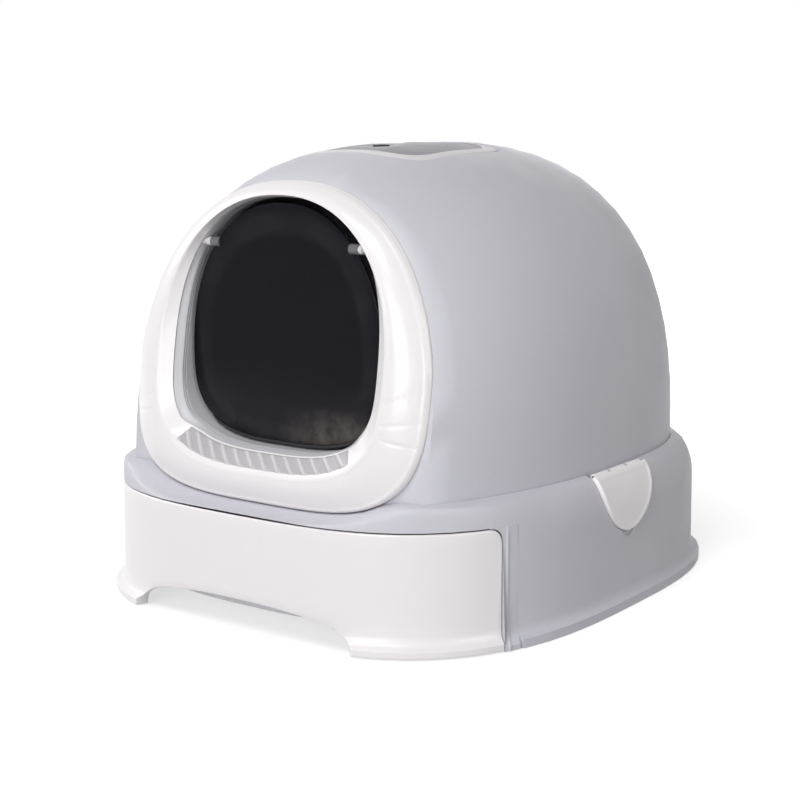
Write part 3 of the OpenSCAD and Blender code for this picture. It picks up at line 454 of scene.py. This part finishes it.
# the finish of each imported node
LOOK = {
    "base_housing": GREY, "drawer_rail_left": GREY, "drawer_rail_right": GREY, "rail_screws": STEEL,
    "drawer_pan": LINER, "drawer_front": WHITE, "drawer_screws": STEEL,
    "hood_shell": GREY, "entry_ring": WHITE, "tunnel_liner": LINER, "ring_screws": STEEL,
    "sill_tread": WHITE,
    "flap_pin_left": PEG, "flap_pin_right": PEG, "latch_pin_left": STEEL, "latch_pin_right": STEEL,
    "filter_box": WHITE_MATTE, "carbon_filter": FELT, "lid_pin": STEEL,
    "flap_panel": SMOKE, "flap_sweep": RUBBER, "latch_left": WHITE, "latch_right": WHITE,
    "lid_plate": LID_PAINTED_SHADE,
}
for name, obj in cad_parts.items():
    obj.data.materials.clear()
    obj.data.materials.append(LOOK[name])
    smooth = obj.modifiers.new("smooth", "NODES")
    smooth.node_group = SMOOTH
    if name == "hood_shell":
        smooth[LIMIT_SOCKET] = math.radians(HOOD_SMOOTH_DEG)

# ---------------------------------------------------------------- entry ring

RING_STEPS = 480
GROOVE_HW, GROOVE_DEEP = 1.4, 0.45
# short grooves on the ring's face, as (x, z) of both ends, the same on both sides
GROOVES = [((121.5, 194.0), (152.0, 204.0)), ((120.5, 177.0), (153.0, 181.0)),
           ((121.5, 166.0), (151.0, 160.5))]


def groove_depth(x, z):
    deep = 0.0
    for (x0, z0), (x1, z1) in GROOVES:
        d = Vector((x1 - x0, z1 - z0))
        w = Vector((abs(x) - x0, z - z0))
        t = max(0.0, min(1.0, w.dot(d) / d.length_squared))
        off = (w - d * t).length
        deep = max(deep, GROOVE_DEEP * ease(1.3 - off / GROOVE_HW))
    return deep


def rim_out(a):
    return mix(3.0, 8.0, ease(-math.sin(a) * 1.3 - 0.2))


def face_out(a, t):
    return mix(rim_out(a), CREST_OUT - 0.3, math.sin(math.pi / 2 * t) ** 0.9)


FACE_SHARES = [0.045 + 0.865 * k / 44 for k in range(45)]


def ring_section(a):
    o, c, j = ring_outer(a), crest_point(a), joint_point(a)
    gap = mix(0.25, 1.1, ease(-math.sin(a) * 2))
    rim, jo = rim_out(a), joint_out(a)
    wide = (c - o).length
    pts = [off_seat(o, gap), off_seat(o, rim - 1.6), off_seat(o.lerp(c, 0.2 / wide), rim - 0.7),
           off_seat(o.lerp(c, 0.8 / wide), rim + 0.1)]
    for t in FACE_SHARES:
        p = o.lerp(c, t)
        bead = 0.55 * math.exp(-((t * wide - 2.6) / 1.5) ** 2)
        pts.append(off_seat(p, face_out(a, t) + bead - groove_depth(p[0], p[1])))
    # rounded crest: a curve from the face over the crest into the return
    start = pts[-1]
    top = off_seat(c, CREST_OUT + 0.9)
    end = off_seat(c.lerp(j, 0.3), mix(CREST_OUT, jo, 0.25))
    for k in range(1, 10):
        t = k / 9
        pts.append(start * (1 - t) ** 2 + top * 2 * t * (1 - t) + end * t * t)
    foot = off_seat(j, jo + 0.6)
    pts += [end.lerp(foot, k / 6) for k in range(1, 6)] + [foot]
    back = j.lerp(o, 2.4 / (o - j).length)
    pts += [off_seat(j.lerp(o, 0.5 / (o - j).length), jo + 0.1), off_seat(back, jo + 0.1),
            off_seat(c.lerp(o, 3.2 / wide), CREST_OUT - 4.4),
            off_seat(o.lerp(c, 0.75), face_out(a, 0.75) - RING_T),
            off_seat(o.lerp(c, 0.4), face_out(a, 0.4) - RING_T),
            off_seat(o.lerp(c, 0.14), gap)]
    return pts


ring_angles = [2 * math.pi * (k + 0.5) / RING_STEPS for k in range(RING_STEPS)]
ring_parts = [loft([ring_section(a) for a in ring_angles], loop=True)]
RING_SCREWS, RING_SCREW_GROW = [15, 48, 132, 165, 222, 318], 7.4
SEAT_IN = Vector((0, 1, -RING_LEAN)).normalized()


def screw_seat(deg):
    a = math.radians(deg)
    p = oval(a, TUNNEL_HW, TUNNEL_UP, CAD_TUNNEL_DOWN, TUNNEL_TOP_POW, TUNNEL_LOW_POW,
             RING_SCREW_GROW)
    return Vector((p[0], seat_y(p[1]), p[1]))


for deg in RING_SCREWS:
    ring_parts.append(turned([(-8, 3.4), (-0.5, 3.6), (-0.3, 3.4)], SEAT_IN, screw_seat(deg), 32))
piece("ring_moulding", *joined(ring_parts), "hood", WHITE, ["entry_ring"])

# ---------------------------------------------------------------- tunnel behind the ring

TUNNEL_STEPS = 288
TUNNEL_ANGLES = [2 * math.pi * (k + 0.5) / TUNNEL_STEPS for k in range(TUNNEL_STEPS)]
TAPER_LEN = 5.5


def rear_point(p):
    return Vector((p[0], min(TUNNEL_REAR_Y, seat_y(p[1]) + TUNNEL_LEN), p[1]))


def tunnel_ring(grow_front, back, share):
    """Ring of the tunnel's inner wall, a share of the way from the joint's outline."""
    ring = []
    for a in TUNNEL_ANGLES:
        j, t = joint_point(a), floor_point(a)
        out = (t - Vector((0, RING_Z))).normalized()
        ring.append(off_seat(j.lerp(t, share) + out * grow_front, joint_out(a) - back))
    return ring


tunnel_rings = [tunnel_ring(2.0, 0.9, 0.0), tunnel_ring(0.7, 0.5, 0.0), tunnel_ring(0.15, 0.7, 0.0),
                tunnel_ring(0.0, 1.1, 0.02)]
tunnel_rings += [tunnel_ring(0.0, 1.1 + TAPER_LEN * k / 8, mix(k / 8, ease(k / 8), 0.35))
                 for k in range(1, 9)]
for deep in (7.4, 10.2):
    tunnel_rings += [tunnel_ring(0.0, deep, 1.0), tunnel_ring(0.7, deep + 0.25, 1.0),
                     tunnel_ring(0.7, deep + 0.9, 1.0), tunnel_ring(0.0, deep + 1.15, 1.0)]
tunnel_rings += [
    [rear_point(floor_point(a, 0.5)) for a in TUNNEL_ANGLES],
    [rear_point(floor_point(a, TUNNEL_T)) for a in TUNNEL_ANGLES],
    [off_seat(floor_point(a, TUNNEL_T), joint_out(a) - 8) for a in TUNNEL_ANGLES]]
liner_parts = [loft(tunnel_rings, loop=True)]
FLANGE_TOP = RING_Z + TUNNEL_UP + TUNNEL_T - 1.5


def flange_ring(grow, back, low):
    ring = []
    for a in TUNNEL_ANGLES:
        p = oval(a, TUNNEL_HW, TUNNEL_UP, low, TUNNEL_TOP_POW, TUNNEL_LOW_POW, grow)
        ring.append(off_seat(Vector((p[0], min(p[1], FLANGE_TOP))), -back))
    return ring


liner_parts.append(loft([
    flange_ring(0.6, 3.35, FLOOR_DOWN), flange_ring(10.5, 3.35, CAD_TUNNEL_DOWN),
    flange_ring(10.5, 6.3, CAD_TUNNEL_DOWN), flange_ring(0.6, 6.3, FLOOR_DOWN)], loop=True))
for deg in RING_SCREWS:
    liner_parts.append(turned([(3.4, 4.2), (3.5, 4.3), (6.2, 4.3), (6.3, 4.1)],
                              SEAT_IN, screw_seat(deg), 32))
piece("tunnel_sleeve", *joined(liner_parts), "hood", LINER, ["tunnel_liner"])

# ---------------------------------------------------------------- ribbed sill

TREAD_HW, SILL_HW = 88.0, 112.0
TREAD_T, RIB_H, RIB_HW, RIB_PITCH, RIB_SLANT = 0.7, 1.1, 2.1, 13.6, math.radians(53)
TREAD_S0, TREAD_S1 = 0.16, 0.95


def angle_at(x):
    """Angle at x on the lower half of an outline about midway from the tunnel to the crest."""
    turn = math.asin(min(1.0, abs(x) / SILL_HW) ** (TUNNEL_LOW_POW / 2))
    return -math.pi / 2 + math.copysign(turn, x)


def sill_point(x, s):
    a = angle_at(x)
    return off_seat(crest_point(a).lerp(joint_point(a), s), mix(CREST_OUT, joint_out(a) + 0.6, s))


def sill_normal(x, s):
    u = sill_point(x + 0.5, s) - sill_point(x - 0.5, s)
    v = sill_point(x, s + 0.02) - sill_point(x, s - 0.02)
    n = u.cross(v).normalized()
    return n if n.z > 0 else -n


def rib_height(p):
    q = (p.x + (p.y - PIVOT_Y) * math.tan(RIB_SLANT)) / RIB_PITCH
    across = abs(q - round(q)) * RIB_PITCH * math.cos(RIB_SLANT)
    return RIB_H * ease(RIB_HW - across)


COLS, ROWS = 300, 26
tread_top, tread_low = [], []
for r in range(ROWS + 1):
    s = mix(TREAD_S0, TREAD_S1, r / ROWS)
    edge_r = ease(min(r, ROWS - r) / 3)
    for k in range(COLS + 1):
        x = mix(-TREAD_HW, TREAD_HW, k / COLS)
        edge = edge_r * ease(min(k, COLS - k) / 3)
        p, n = sill_point(x, s), sill_normal(x, s)
        tread_low.append(p - n * 0.3)
        tread_top.append(p + n * (0.05 + edge * (TREAD_T + rib_height(p))))
WIDE = COLS + 1
LOW = WIDE * (ROWS + 1)  # index of the underside's first point
tread_faces = []
for r in range(ROWS):
    for k in range(COLS):
        i = r * WIDE + k
        tread_faces.append([i, i + 1, i + WIDE + 1, i + WIDE])
        tread_faces.append([LOW + i, LOW + i + WIDE, LOW + i + WIDE + 1, LOW + i + 1])
border = [(k, k + 1) for k in range(COLS)]
border += [(ROWS * WIDE + k + 1, ROWS * WIDE + k) for k in range(COLS)]
border += [(r * WIDE + COLS, (r + 1) * WIDE + COLS) for r in range(ROWS)]
border += [((r + 1) * WIDE, r * WIDE) for r in range(ROWS)]
for i, j in border:
    tread_faces.append([i, LOW + i, LOW + j, j])
# the low faces between the ribs take the darker grey, a painted shade between the ribs
piece("sill_ribs", tread_top + tread_low, tread_faces, "hood", SILL_WHITE, ["sill_tread"],
      second=(SHEET_SHADE, lambda c: rib_height(c) < 0.4 * RIB_H))

# ---------------------------------------------------------------- flap

FLAP_ANGLES = [2 * math.pi * k / 240 for k in range(240)]


def flap_ring(grow, y):
    return [Vector((p[0], PIVOT_Y + y, p[1])) for p in
            (oval(a, FLAP_HW, FLAP_TOP, FLAP_DOWN, FLAP_TOP_POW, FLAP_LOW_POW, grow)
             for a in FLAP_ANGLES)]


# half of the section, from the edge inwards: (inset, half thickness)
FLAP_SECTION = [(0.0, 0.5), (0.25, 0.95), (0.8, 1.25), (1.6, 1.3), (11.0, 1.3), (13.5, 1.22),
                (17.0, 0.85), (20.5, 0.48), (23.0, 0.4), (40.0, 0.4), (60.0, 0.4)]
flap_rings = [flap_ring(-g, -h) for g, h in reversed(FLAP_SECTION)]
flap_rings += [flap_ring(-g, h) for g, h in FLAP_SECTION]
piece("smoked_panel", *loft(flap_rings), "flap", SMOKE, ["flap_panel"])

lugs = []
for side, _ in SIDES:
    out = Vector((side, 0, 0))
    at = Vector((0, PIVOT_Y, PIVOT_Z))
    lugs.append(turned([(EYE_IN, EYE_R - 0.5), (EYE_IN + 0.5, EYE_R), (EYE_OUT - 0.5, EYE_R),
                        (EYE_OUT, EYE_R - 0.4), (EYE_OUT, 2.5), (EYE_IN + 0.4, 2.5)], out, at))
piece("flap_lugs", *joined(lugs), "flap", CLEAR)

SWEEP_H = 2.8
sweep_x = [mix(-80, 80, k / 120) for k in range(121)]
sweep_rings = []
for x in sweep_x:
    z = RING_Z - FLAP_DOWN * se(x / FLAP_HW, FLAP_LOW_POW)
    h = SWEEP_H * ease((80.5 - abs(x)) / 6) + 0.05
    section = ((-1.2, -0.05), (-1.9, -0.1), (-1.7, -h * 0.5), (-0.6, -h),
               (0.6, -h), (1.7, -h * 0.5), (1.9, -0.1), (1.2, -0.05))
    sweep_rings.append([Vector((x, PIVOT_Y + y, z + dz)) for y, dz in section])
piece("sweep_lip", *loft(sweep_rings), "flap", RUBBER, ["flap_sweep"])

# ---------------------------------------------------------------- drawer front

PANEL_END_Y = -168.0
ARCH_HW, ARCH_H, FRONT_TOP, FRONT_LIFT, CORNER_R = 113.0, 28.0, 97.3, 1.0, 10.0


def base_r(a, g):
    """Radius of the base's wall at the angle a, grown by g."""
    return polar_r(a, BASE_HW + g, BASE_HD + g, BASE_POW)


def wall_out(z):
    """How far the base's wall leans out at height z."""
    return WALL_LEAN * (SHOULDER_Z - min(z, SHOULDER_Z)) / SHOULDER_Z


def flare(z):
    if z <= FOOT_H:
        return FOOT_FLARE
    return FOOT_FLARE * (1 - se(1 - (z - FOOT_H) / FILLET_H, 2)) if z < FOOT_H + FILLET_H else 0.0


END_A = math.atan2(BASE_HW * se(PANEL_END_Y / BASE_HD, BASE_POW), -PANEL_END_Y)
ARCH_A = math.atan2(ARCH_HW, BASE_HD * se(ARCH_HW / BASE_HW, BASE_POW))


def front_section(b):
    """Closed section at the angle b from the middle of the front."""
    a = -math.pi / 2 + b
    x = (base_r(a, 0) + 3) * math.cos(a)
    arch = ARCH_H * se(x / ARCH_HW, 2.6) if abs(x) < ARCH_HW else 0.0
    low = max(FRONT_LIFT, arch)
    s = (END_A - abs(b)) * base_r(a, 0)
    top = FRONT_TOP - (CORNER_R * (1 - se(1 - s / CORNER_R, 2)) if s < CORNER_R else 0.0)
    pts = []
    z_low = low + 0.9
    zs = [mix(z_low, max(z_low, 18.0), k / 14) for k in range(14)]
    zs += [mix(max(z_low, 18.0), top - 1.9, k / 10) for k in range(11)]
    for z in zs:
        pts.append((base_r(a, wall_out(z) + flare(z)), z))
    for t in (22, 45, 68, 90):
        t = math.radians(t)
        pts.append((base_r(a, -1.5 * (1 - math.cos(t))), top - 1.9 + 1.9 * math.sin(t)))
    pts += [(base_r(a, -2.4), top - 0.3), (base_r(a, -WALL), top - 1.0)]
    z_in = max(FOOT_H + FILLET_H, low + 1.2)
    pts += [(base_r(a, wall_out(z_in) - WALL), z_in), (base_r(a, wall_out(low) - WALL), low + 0.6)]
    out_low = wall_out(low) + flare(low)
    pts += [(base_r(a, wall_out(low) - WALL + 0.5), low), (base_r(a, out_low - 0.9), low),
            (base_r(a, out_low - 0.25), low + 0.3)]
    return [Vector((r * math.cos(a), r * math.sin(a), z)) for r, z in pts]


bs = [ARCH_A * math.sin(math.radians(90 * k / 60)) for k in range(-60, 61)]
side_bs = [mix(ARCH_A, END_A, math.sin(math.radians(90 * k / 60))) for k in range(1, 61)]
bs = [-b for b in reversed(side_bs)] + bs + side_bs
piece("drawer_fascia", *loft([front_section(b) for b in bs]), "drawer", WHITE, ["drawer_front"])

# jambs of the base beside the front, which close its rounded corners and carry a thin rib
JAMB_GAP, JAMB_TOP, JAMB_END_Y = 0.7, 98.9, -153.5
JAMB_B = math.atan2(BASE_HW * se(JAMB_END_Y / BASE_HD, BASE_POW), -JAMB_END_Y)


def jamb_section(side, s):
    """Closed section of a jamb, s millimetres behind the front's end."""
    b = END_A + s / base_r(-math.pi / 2 + END_A, 0)
    a = -math.pi / 2 + b
    low = 0.4
    if s < JAMB_GAP:
        u = JAMB_GAP - s
        low = FRONT_TOP + 0.5
        if u < CORNER_R:
            low = FRONT_TOP + JAMB_GAP - CORNER_R * (1 - se(1 - u / CORNER_R, 2))
    low = min(low, JAMB_TOP - 0.2)
    rib = 0.9 * math.exp(-((s - 5.5) / 1.3) ** 2) * ease(s - JAMB_GAP)
    pts = []
    for k in range(25):
        z = mix(low, JAMB_TOP, k / 24)
        off = wall_out(z) + flare(z) * 0.98 + rib * ease((JAMB_TOP - z) / 6) - 0.05
        pts.append((base_r(a, off), z))
    pts += [(base_r(a, -2.4), JAMB_TOP), (base_r(a, wall_out(low) - 2.4), low)]
    return [Vector((math.copysign(r * math.cos(a), side), r * math.sin(a), z)) for r, z in pts]


jamb_len = (JAMB_B - END_A) * base_r(-math.pi / 2 + END_A, 0)
jamb_s = [JAMB_GAP - 11 + 11 * k / 14 for k in range(14)] + [JAMB_GAP - 0.02, JAMB_GAP + 0.02]
jamb_s += [mix(JAMB_GAP + 0.02, jamb_len, k / 22) for k in range(1, 23)]
for side, word in SIDES:
    piece("drawer_jamb_" + word, *loft([jamb_section(side, s) for s in jamb_s]), "base", GREY)

# ---------------------------------------------------------------- latches

LATCH_HW, LATCH_LEN, LATCH_TOP_Z = 45.0, 52.5, 115.7
LATCH_PIN_X, LATCH_PIN_Z = 206.8, 115.4
LATCH_MID_Z = 96.0


def latch_surface(y, z, off):
    """Point of the latch's skin at height z of the base's side, standing out by off."""
    if z <= SHOULDER_Z:
        return Vector((BASE_HW + wall_out(z) + off, y, z))
    t = math.asin(min(1.0, (z - SHOULDER_Z) / (SEAM_Z - SHOULDER_Z)))
    step = BASE_HW - HOOD_HW
    n = Vector((math.cos(t) / step, math.sin(t) / (SEAM_Z - SHOULDER_Z))).normalized()
    return Vector((HOOD_HW + step * math.cos(t) + off * n[0], y, z + off * n[1]))


def latch_ring(side, inset, off, share=1.0):
    """Ring round the tongue, inset from its outline and shrunk to a share towards its middle."""
    flat = []
    for k in range(97):
        t = math.pi / 2 * (k / 48 - 1)
        flat.append(((LATCH_HW - inset) * math.sin(t),
                     min(SEAM_Z - (LATCH_LEN - inset) * math.cos(t), LATCH_TOP_Z - inset)))
    y1 = flat[-1][0]
    flat += [(mix(y1, -y1, k / 40), LATCH_TOP_Z - inset) for k in range(1, 40)]
    ring = [latch_surface(y * share, mix(LATCH_MID_Z, z, share), off) for y, z in flat]
    return [Vector((p.x * side, p.y, p.z)) for p in ring]


BARREL = [(-40.0, -17.4), (-11.6, 11.6), (17.4, 40.0)]
for side, word in SIDES:
    tongue = [latch_ring(side, 0.3, -1.0, q) for q in (0.1, 0.4, 0.7)]
    tongue += [latch_ring(side, g, h) for g, h in (
        (0.3, -1.0), (0.05, -0.6), (0.0, 2.0), (0.2, 2.55), (0.7, 2.9), (1.4, 3.0), (3.0, 3.0),
        (3.7, 2.85), (4.3, 2.55), (5.0, 2.4))]
    tongue += [latch_ring(side, 5.0, 2.4, q) for q in (0.85, 0.65, 0.4, 0.15)]
    parts = [loft(tongue)]
    for y0, y1 in BARREL:
        knuckle = [(y0, 1.8), (y0, 2.7), (y0 + 0.4, 3.0), (y1 - 0.4, 3.0), (y1, 2.7), (y1, 1.8)]
        at = Vector((side * LATCH_PIN_X, 0, LATCH_PIN_Z))
        parts.append(turned(knuckle, Vector((0, 1, 0)), at, 36, bored=True))
    piece("latch_tongue_" + word, *joined(parts), "latch_%s_body" % word, LATCH_WHITE,
          ["latch_" + word])

# ---------------------------------------------------------------- lid

LID_FLAT_Z, LID_T, LID_TOP_Z = 386.0, 2.4, 389.5
FINGER_Y, FINGER_R = -56.0, 6.0
RIM_SHARE, RECESS, SCOOP = 0.87, 0.9, 1.6
LID_PIN_Y, LID_PIN_Z = 43.0, 384.4


def hood_r(a, z):
    """Plan radius of the hood at the height z."""
    u = hood_share(z)
    half = HOOD_HW * se(u, HOOD_SIDE_POW)
    if math.sin(a) >= 0:
        return polar_r(a, half, HOOD_REAR * se(u, HOOD_REAR_POW), REAR_PLAN_POW)
    front = polar_r(a, half, HOOD_FRONT * se(u, HOOD_FRONT_POW), FRONT_PLAN_POW)
    return min(front, seat_y(z) / math.sin(a))


def dome_z(x, y):
    lo, hi = HOOD_Z0, TOTAL_H - 0.001
    a, r = math.atan2(y, x), math.hypot(x, y)
    for _ in range(26):
        mid = (lo + hi) / 2
        lo, hi = (mid, hi) if r < hood_r(a, mid) else (lo, mid)
    return lo


def lid_share(x, y):
    """0 at the lid's middle and 1 on its outline."""
    wide, deep = abs(x) / LID_HW, abs(y - LID_MID_Y) / LID_HD
    return (wide ** LID_POW + deep ** LID_POW) ** (1 / LID_POW)


def lid_top(x, y):
    """The dome's height with a rim, a lower middle, a scoop at the finger hole and a low rear."""
    q = lid_share(x, y)
    z = min(dome_z(x, y) - 0.1, LID_TOP_Z)
    z -= RECESS * ease((RIM_SHARE - q) / 0.025)
    z -= SCOOP * math.exp(-((math.hypot(x, y - FINGER_Y) - FINGER_R) / 9) ** 2)
    z -= 1.7 * ease((y - 30) / 9)
    return z - 0.6 * ease((q - 0.985) / 0.015) ** 2


def lid_low(x, y):
    return min(LID_FLAT_Z, dome_z(x, y)) - LID_T


def lid_rings(shares, height):
    rings = []
    for t in shares:
        ring = []
        for k in range(200):
            a = 2 * math.pi * (k + 0.5) / 200
            r = polar_r(a, LID_HW, LID_HD, LID_POW)
            edge = Vector((r * math.cos(a), LID_MID_Y + r * math.sin(a)))
            hole = Vector((0, FINGER_Y)) + (edge - Vector((0, FINGER_Y))).normalized() * FINGER_R
            at = hole.lerp(edge, t)
            ring.append(Vector((at[0], at[1], height(at[0], at[1]))))
        rings.append(ring)
    return rings


lid_parts = [loft(lid_rings([k / 80 for k in range(81)], lid_top)
                  + lid_rings([1.0, 0.8, 0.6, 0.4, 0.2, 0.0], lid_low), loop=True)]
# what hangs below the lid: (x, z) of a filter rail, the turned knuckle, (y, z) of its arm
RAIL = [(38.0, 379.8), (43.3, 379.8), (43.3, 383.9), (41.3, 383.9), (41.3, 381.8), (38.0, 381.8)]
LID_KNUCKLE = [(14.0, 1.4), (14.0, 2.0), (14.3, 2.2), (25.2, 2.2), (25.5, 2.0), (25.5, 1.4)]
ARM = [(35.0, 384.2), (41.3, 383.9), (41.3, 385.2), (39.0, 386.0), (35.0, 386.0)]
for side, _ in SIDES:
    lid_parts.append(loft([[Vector((side * x, y, z)) for x, z in RAIL] for y in (-44.0, 26.0)]))
    lid_parts.append(turned(LID_KNUCKLE, Vector((side, 0, 0)),
                            Vector((0, LID_PIN_Y, LID_PIN_Z)), 36, bored=True))
    lid_parts.append(loft([[Vector((side * x, y, z)) for y, z in ARM] for x in (14.0, 25.5)]))
# the lid's material paints its middle dark grey as shade for the recess
piece("vaulted_lid", *joined(lid_parts), "lid", LID_PAINTED_SHADE, ["lid_plate"])

# a dark rubber ring round the finger hole: painted shade, standing in for the shade inside the hole
shade_grommet_z = lid_top(0, FINGER_Y - FINGER_R)
piece("finger_hole_shade_grommet", *turned(
    [(-2.2, 5.2), (-2.2, 5.9), (0.0, 5.9), (0.1, 7.3), (1.2, 7.5), (1.8, 7.0), (1.9, 6.3),
     (1.6, 5.5), (1.0, 5.2)],
    Vector((0, 0, 1)), Vector((0, FINGER_Y, shade_grommet_z)), 64, bored=True), "lid", RUBBER)

# ---------------------------------------------------------------- camera and light

# solved on the photograph
CAM_AZ, CAM_EL = math.radians(35.804), math.radians(9.867)
CAM_SIDE, CAM_DIST, CAM_UP = -0.016578, 1.475389, 0.15466
SENSOR, FOCAL_PX, PICTURE_PX = 36, 1596.867, 800
ahead = Vector((-math.sin(CAM_AZ) * math.cos(CAM_EL), math.cos(CAM_AZ) * math.cos(CAM_EL),
                -math.sin(CAM_EL)))
right = Vector((math.cos(CAM_AZ), math.sin(CAM_AZ), 0))
eye = right * CAM_SIDE - ahead * CAM_DIST + Vector((0, 0, CAM_UP))
up = right.cross(ahead)
cam_data = bpy.data.cameras.new("camera")
cam_data.sensor_width = SENSOR
cam_data.lens = SENSOR * FOCAL_PX / PICTURE_PX
cam_data.clip_start = 0.05
cam = bpy.data.objects.new("camera", cam_data)
bpy.context.scene.collection.objects.link(cam)
cam.matrix_world = Matrix((
    (right.x, up.x, -ahead.x, eye.x), (right.y, up.y, -ahead.y, eye.y),
    (right.z, up.z, -ahead.z, eye.z), (0, 0, 0, 1)))
bpy.context.scene.camera = cam


def area(name, at, size, power):
    """A square lamp aimed at the middle of the object."""
    lamp = bpy.data.lights.new(name, "AREA")
    lamp.size = size
    lamp.energy = power
    obj = bpy.data.objects.new(name, lamp)
    bpy.context.scene.collection.objects.link(obj)
    obj.location = at
    obj.rotation_euler = (AIM - Vector(at)).to_track_quat("-Z", "Y").to_euler()


AIM = Vector((0, 0, 0.2))
area("left", (-2.2, -0.6, 1.3), 1.1, 23)
area("front", (0.5, -2.4, 0.8), 1.1, 24)
area("above", (0.3, -1.8, 2.4), 1.1, 33)
area("right", (2.3, -0.4, 1.2), 1.1, 13)
area("behind", (-1.1, 2.3, 0.8), 1.4, 9)

world = bpy.data.worlds.new("world")
bpy.context.scene.world = world
world.use_nodes = True
world.node_tree.nodes["Background"].inputs["Color"].default_value = (1, 1, 1, 1)
world.node_tree.nodes["Background"].inputs["Strength"].default_value = 0.05


def shown_rays(tree):
    """1 for the rays that show the background: to the camera, in gloss and through glass."""
    path = tree.nodes.new("ShaderNodeLightPath")
    total = path.outputs["Is Camera Ray"]
    for kind in ("Is Glossy Ray", "Is Transmission Ray"):
        total = calc(tree, "MAXIMUM", total, path.outputs[kind])
    return total


# pale floor that shows as white, with the object's soft shadow
floor_mesh = bpy.data.meshes.new("floor")
floor_mesh.from_pydata([(-8, -8, 0), (8, -8, 0), (8, 8, 0), (-8, 8, 0)], [], [(0, 1, 2, 3)])
floor = bpy.data.objects.new("floor", floor_mesh)
floor.location.z = -0.0005
bpy.context.scene.collection.objects.link(floor)
fm = bpy.data.materials.new("floor_white")
fm.use_nodes = True
ft = fm.node_tree
fb = ft.nodes["Principled BSDF"]
fb.inputs["Base Color"].default_value = (0.5, 0.5, 0.5, 1)
fb.inputs["Roughness"].default_value = 0.7
glow = ft.nodes.new("ShaderNodeEmission")
# the light that it gives off makes up for the falling lamp light further out
far = ft.nodes.new("ShaderNodeVectorMath")
far.operation = "LENGTH"
ft.links.new(ft.nodes.new("ShaderNodeNewGeometry").outputs["Position"], far.inputs[0])
fade = ft.nodes.new("ShaderNodeMapRange")
for socket, value in (("From Min", 0.4), ("From Max", 1.3), ("To Min", 0.66), ("To Max", 1.0)):
    fade.inputs[socket].default_value = value
ft.links.new(far.outputs["Value"], fade.inputs["Value"])
ft.links.new(fade.outputs["Result"], glow.inputs["Strength"])
lit = ft.nodes.new("ShaderNodeAddShader")
mixer = ft.nodes.new("ShaderNodeMixShader")
out = ft.nodes["Material Output"]
ft.links.new(fb.outputs["BSDF"], lit.inputs[0])
ft.links.new(glow.outputs["Emission"], lit.inputs[1])
ft.links.new(shown_rays(ft), mixer.inputs["Fac"])
ft.links.new(fb.outputs["BSDF"], mixer.inputs[1])
ft.links.new(lit.outputs["Shader"], mixer.inputs[2])
ft.links.new(mixer.outputs["Shader"], out.inputs["Surface"])
floor_mesh.materials.append(fm)

# the backdrop is white to the camera, and gives soft grey light to the rest
wt = world.node_tree
wbg = wt.nodes["Background"]
wcam = wt.nodes.new("ShaderNodeBackground")
wcam.inputs["Color"].default_value = (1, 1, 1, 1)
wcam.inputs["Strength"].default_value = 1.0
wmix = wt.nodes.new("ShaderNodeMixShader")
wt.links.new(shown_rays(wt), wmix.inputs["Fac"])
wt.links.new(wbg.outputs["Background"], wmix.inputs[1])
wt.links.new(wcam.outputs["Background"], wmix.inputs[2])
wt.links.new(wmix.outputs["Shader"], wt.nodes["World Output"].inputs["Surface"])

bpy.context.scene.view_settings.view_transform = "Standard"
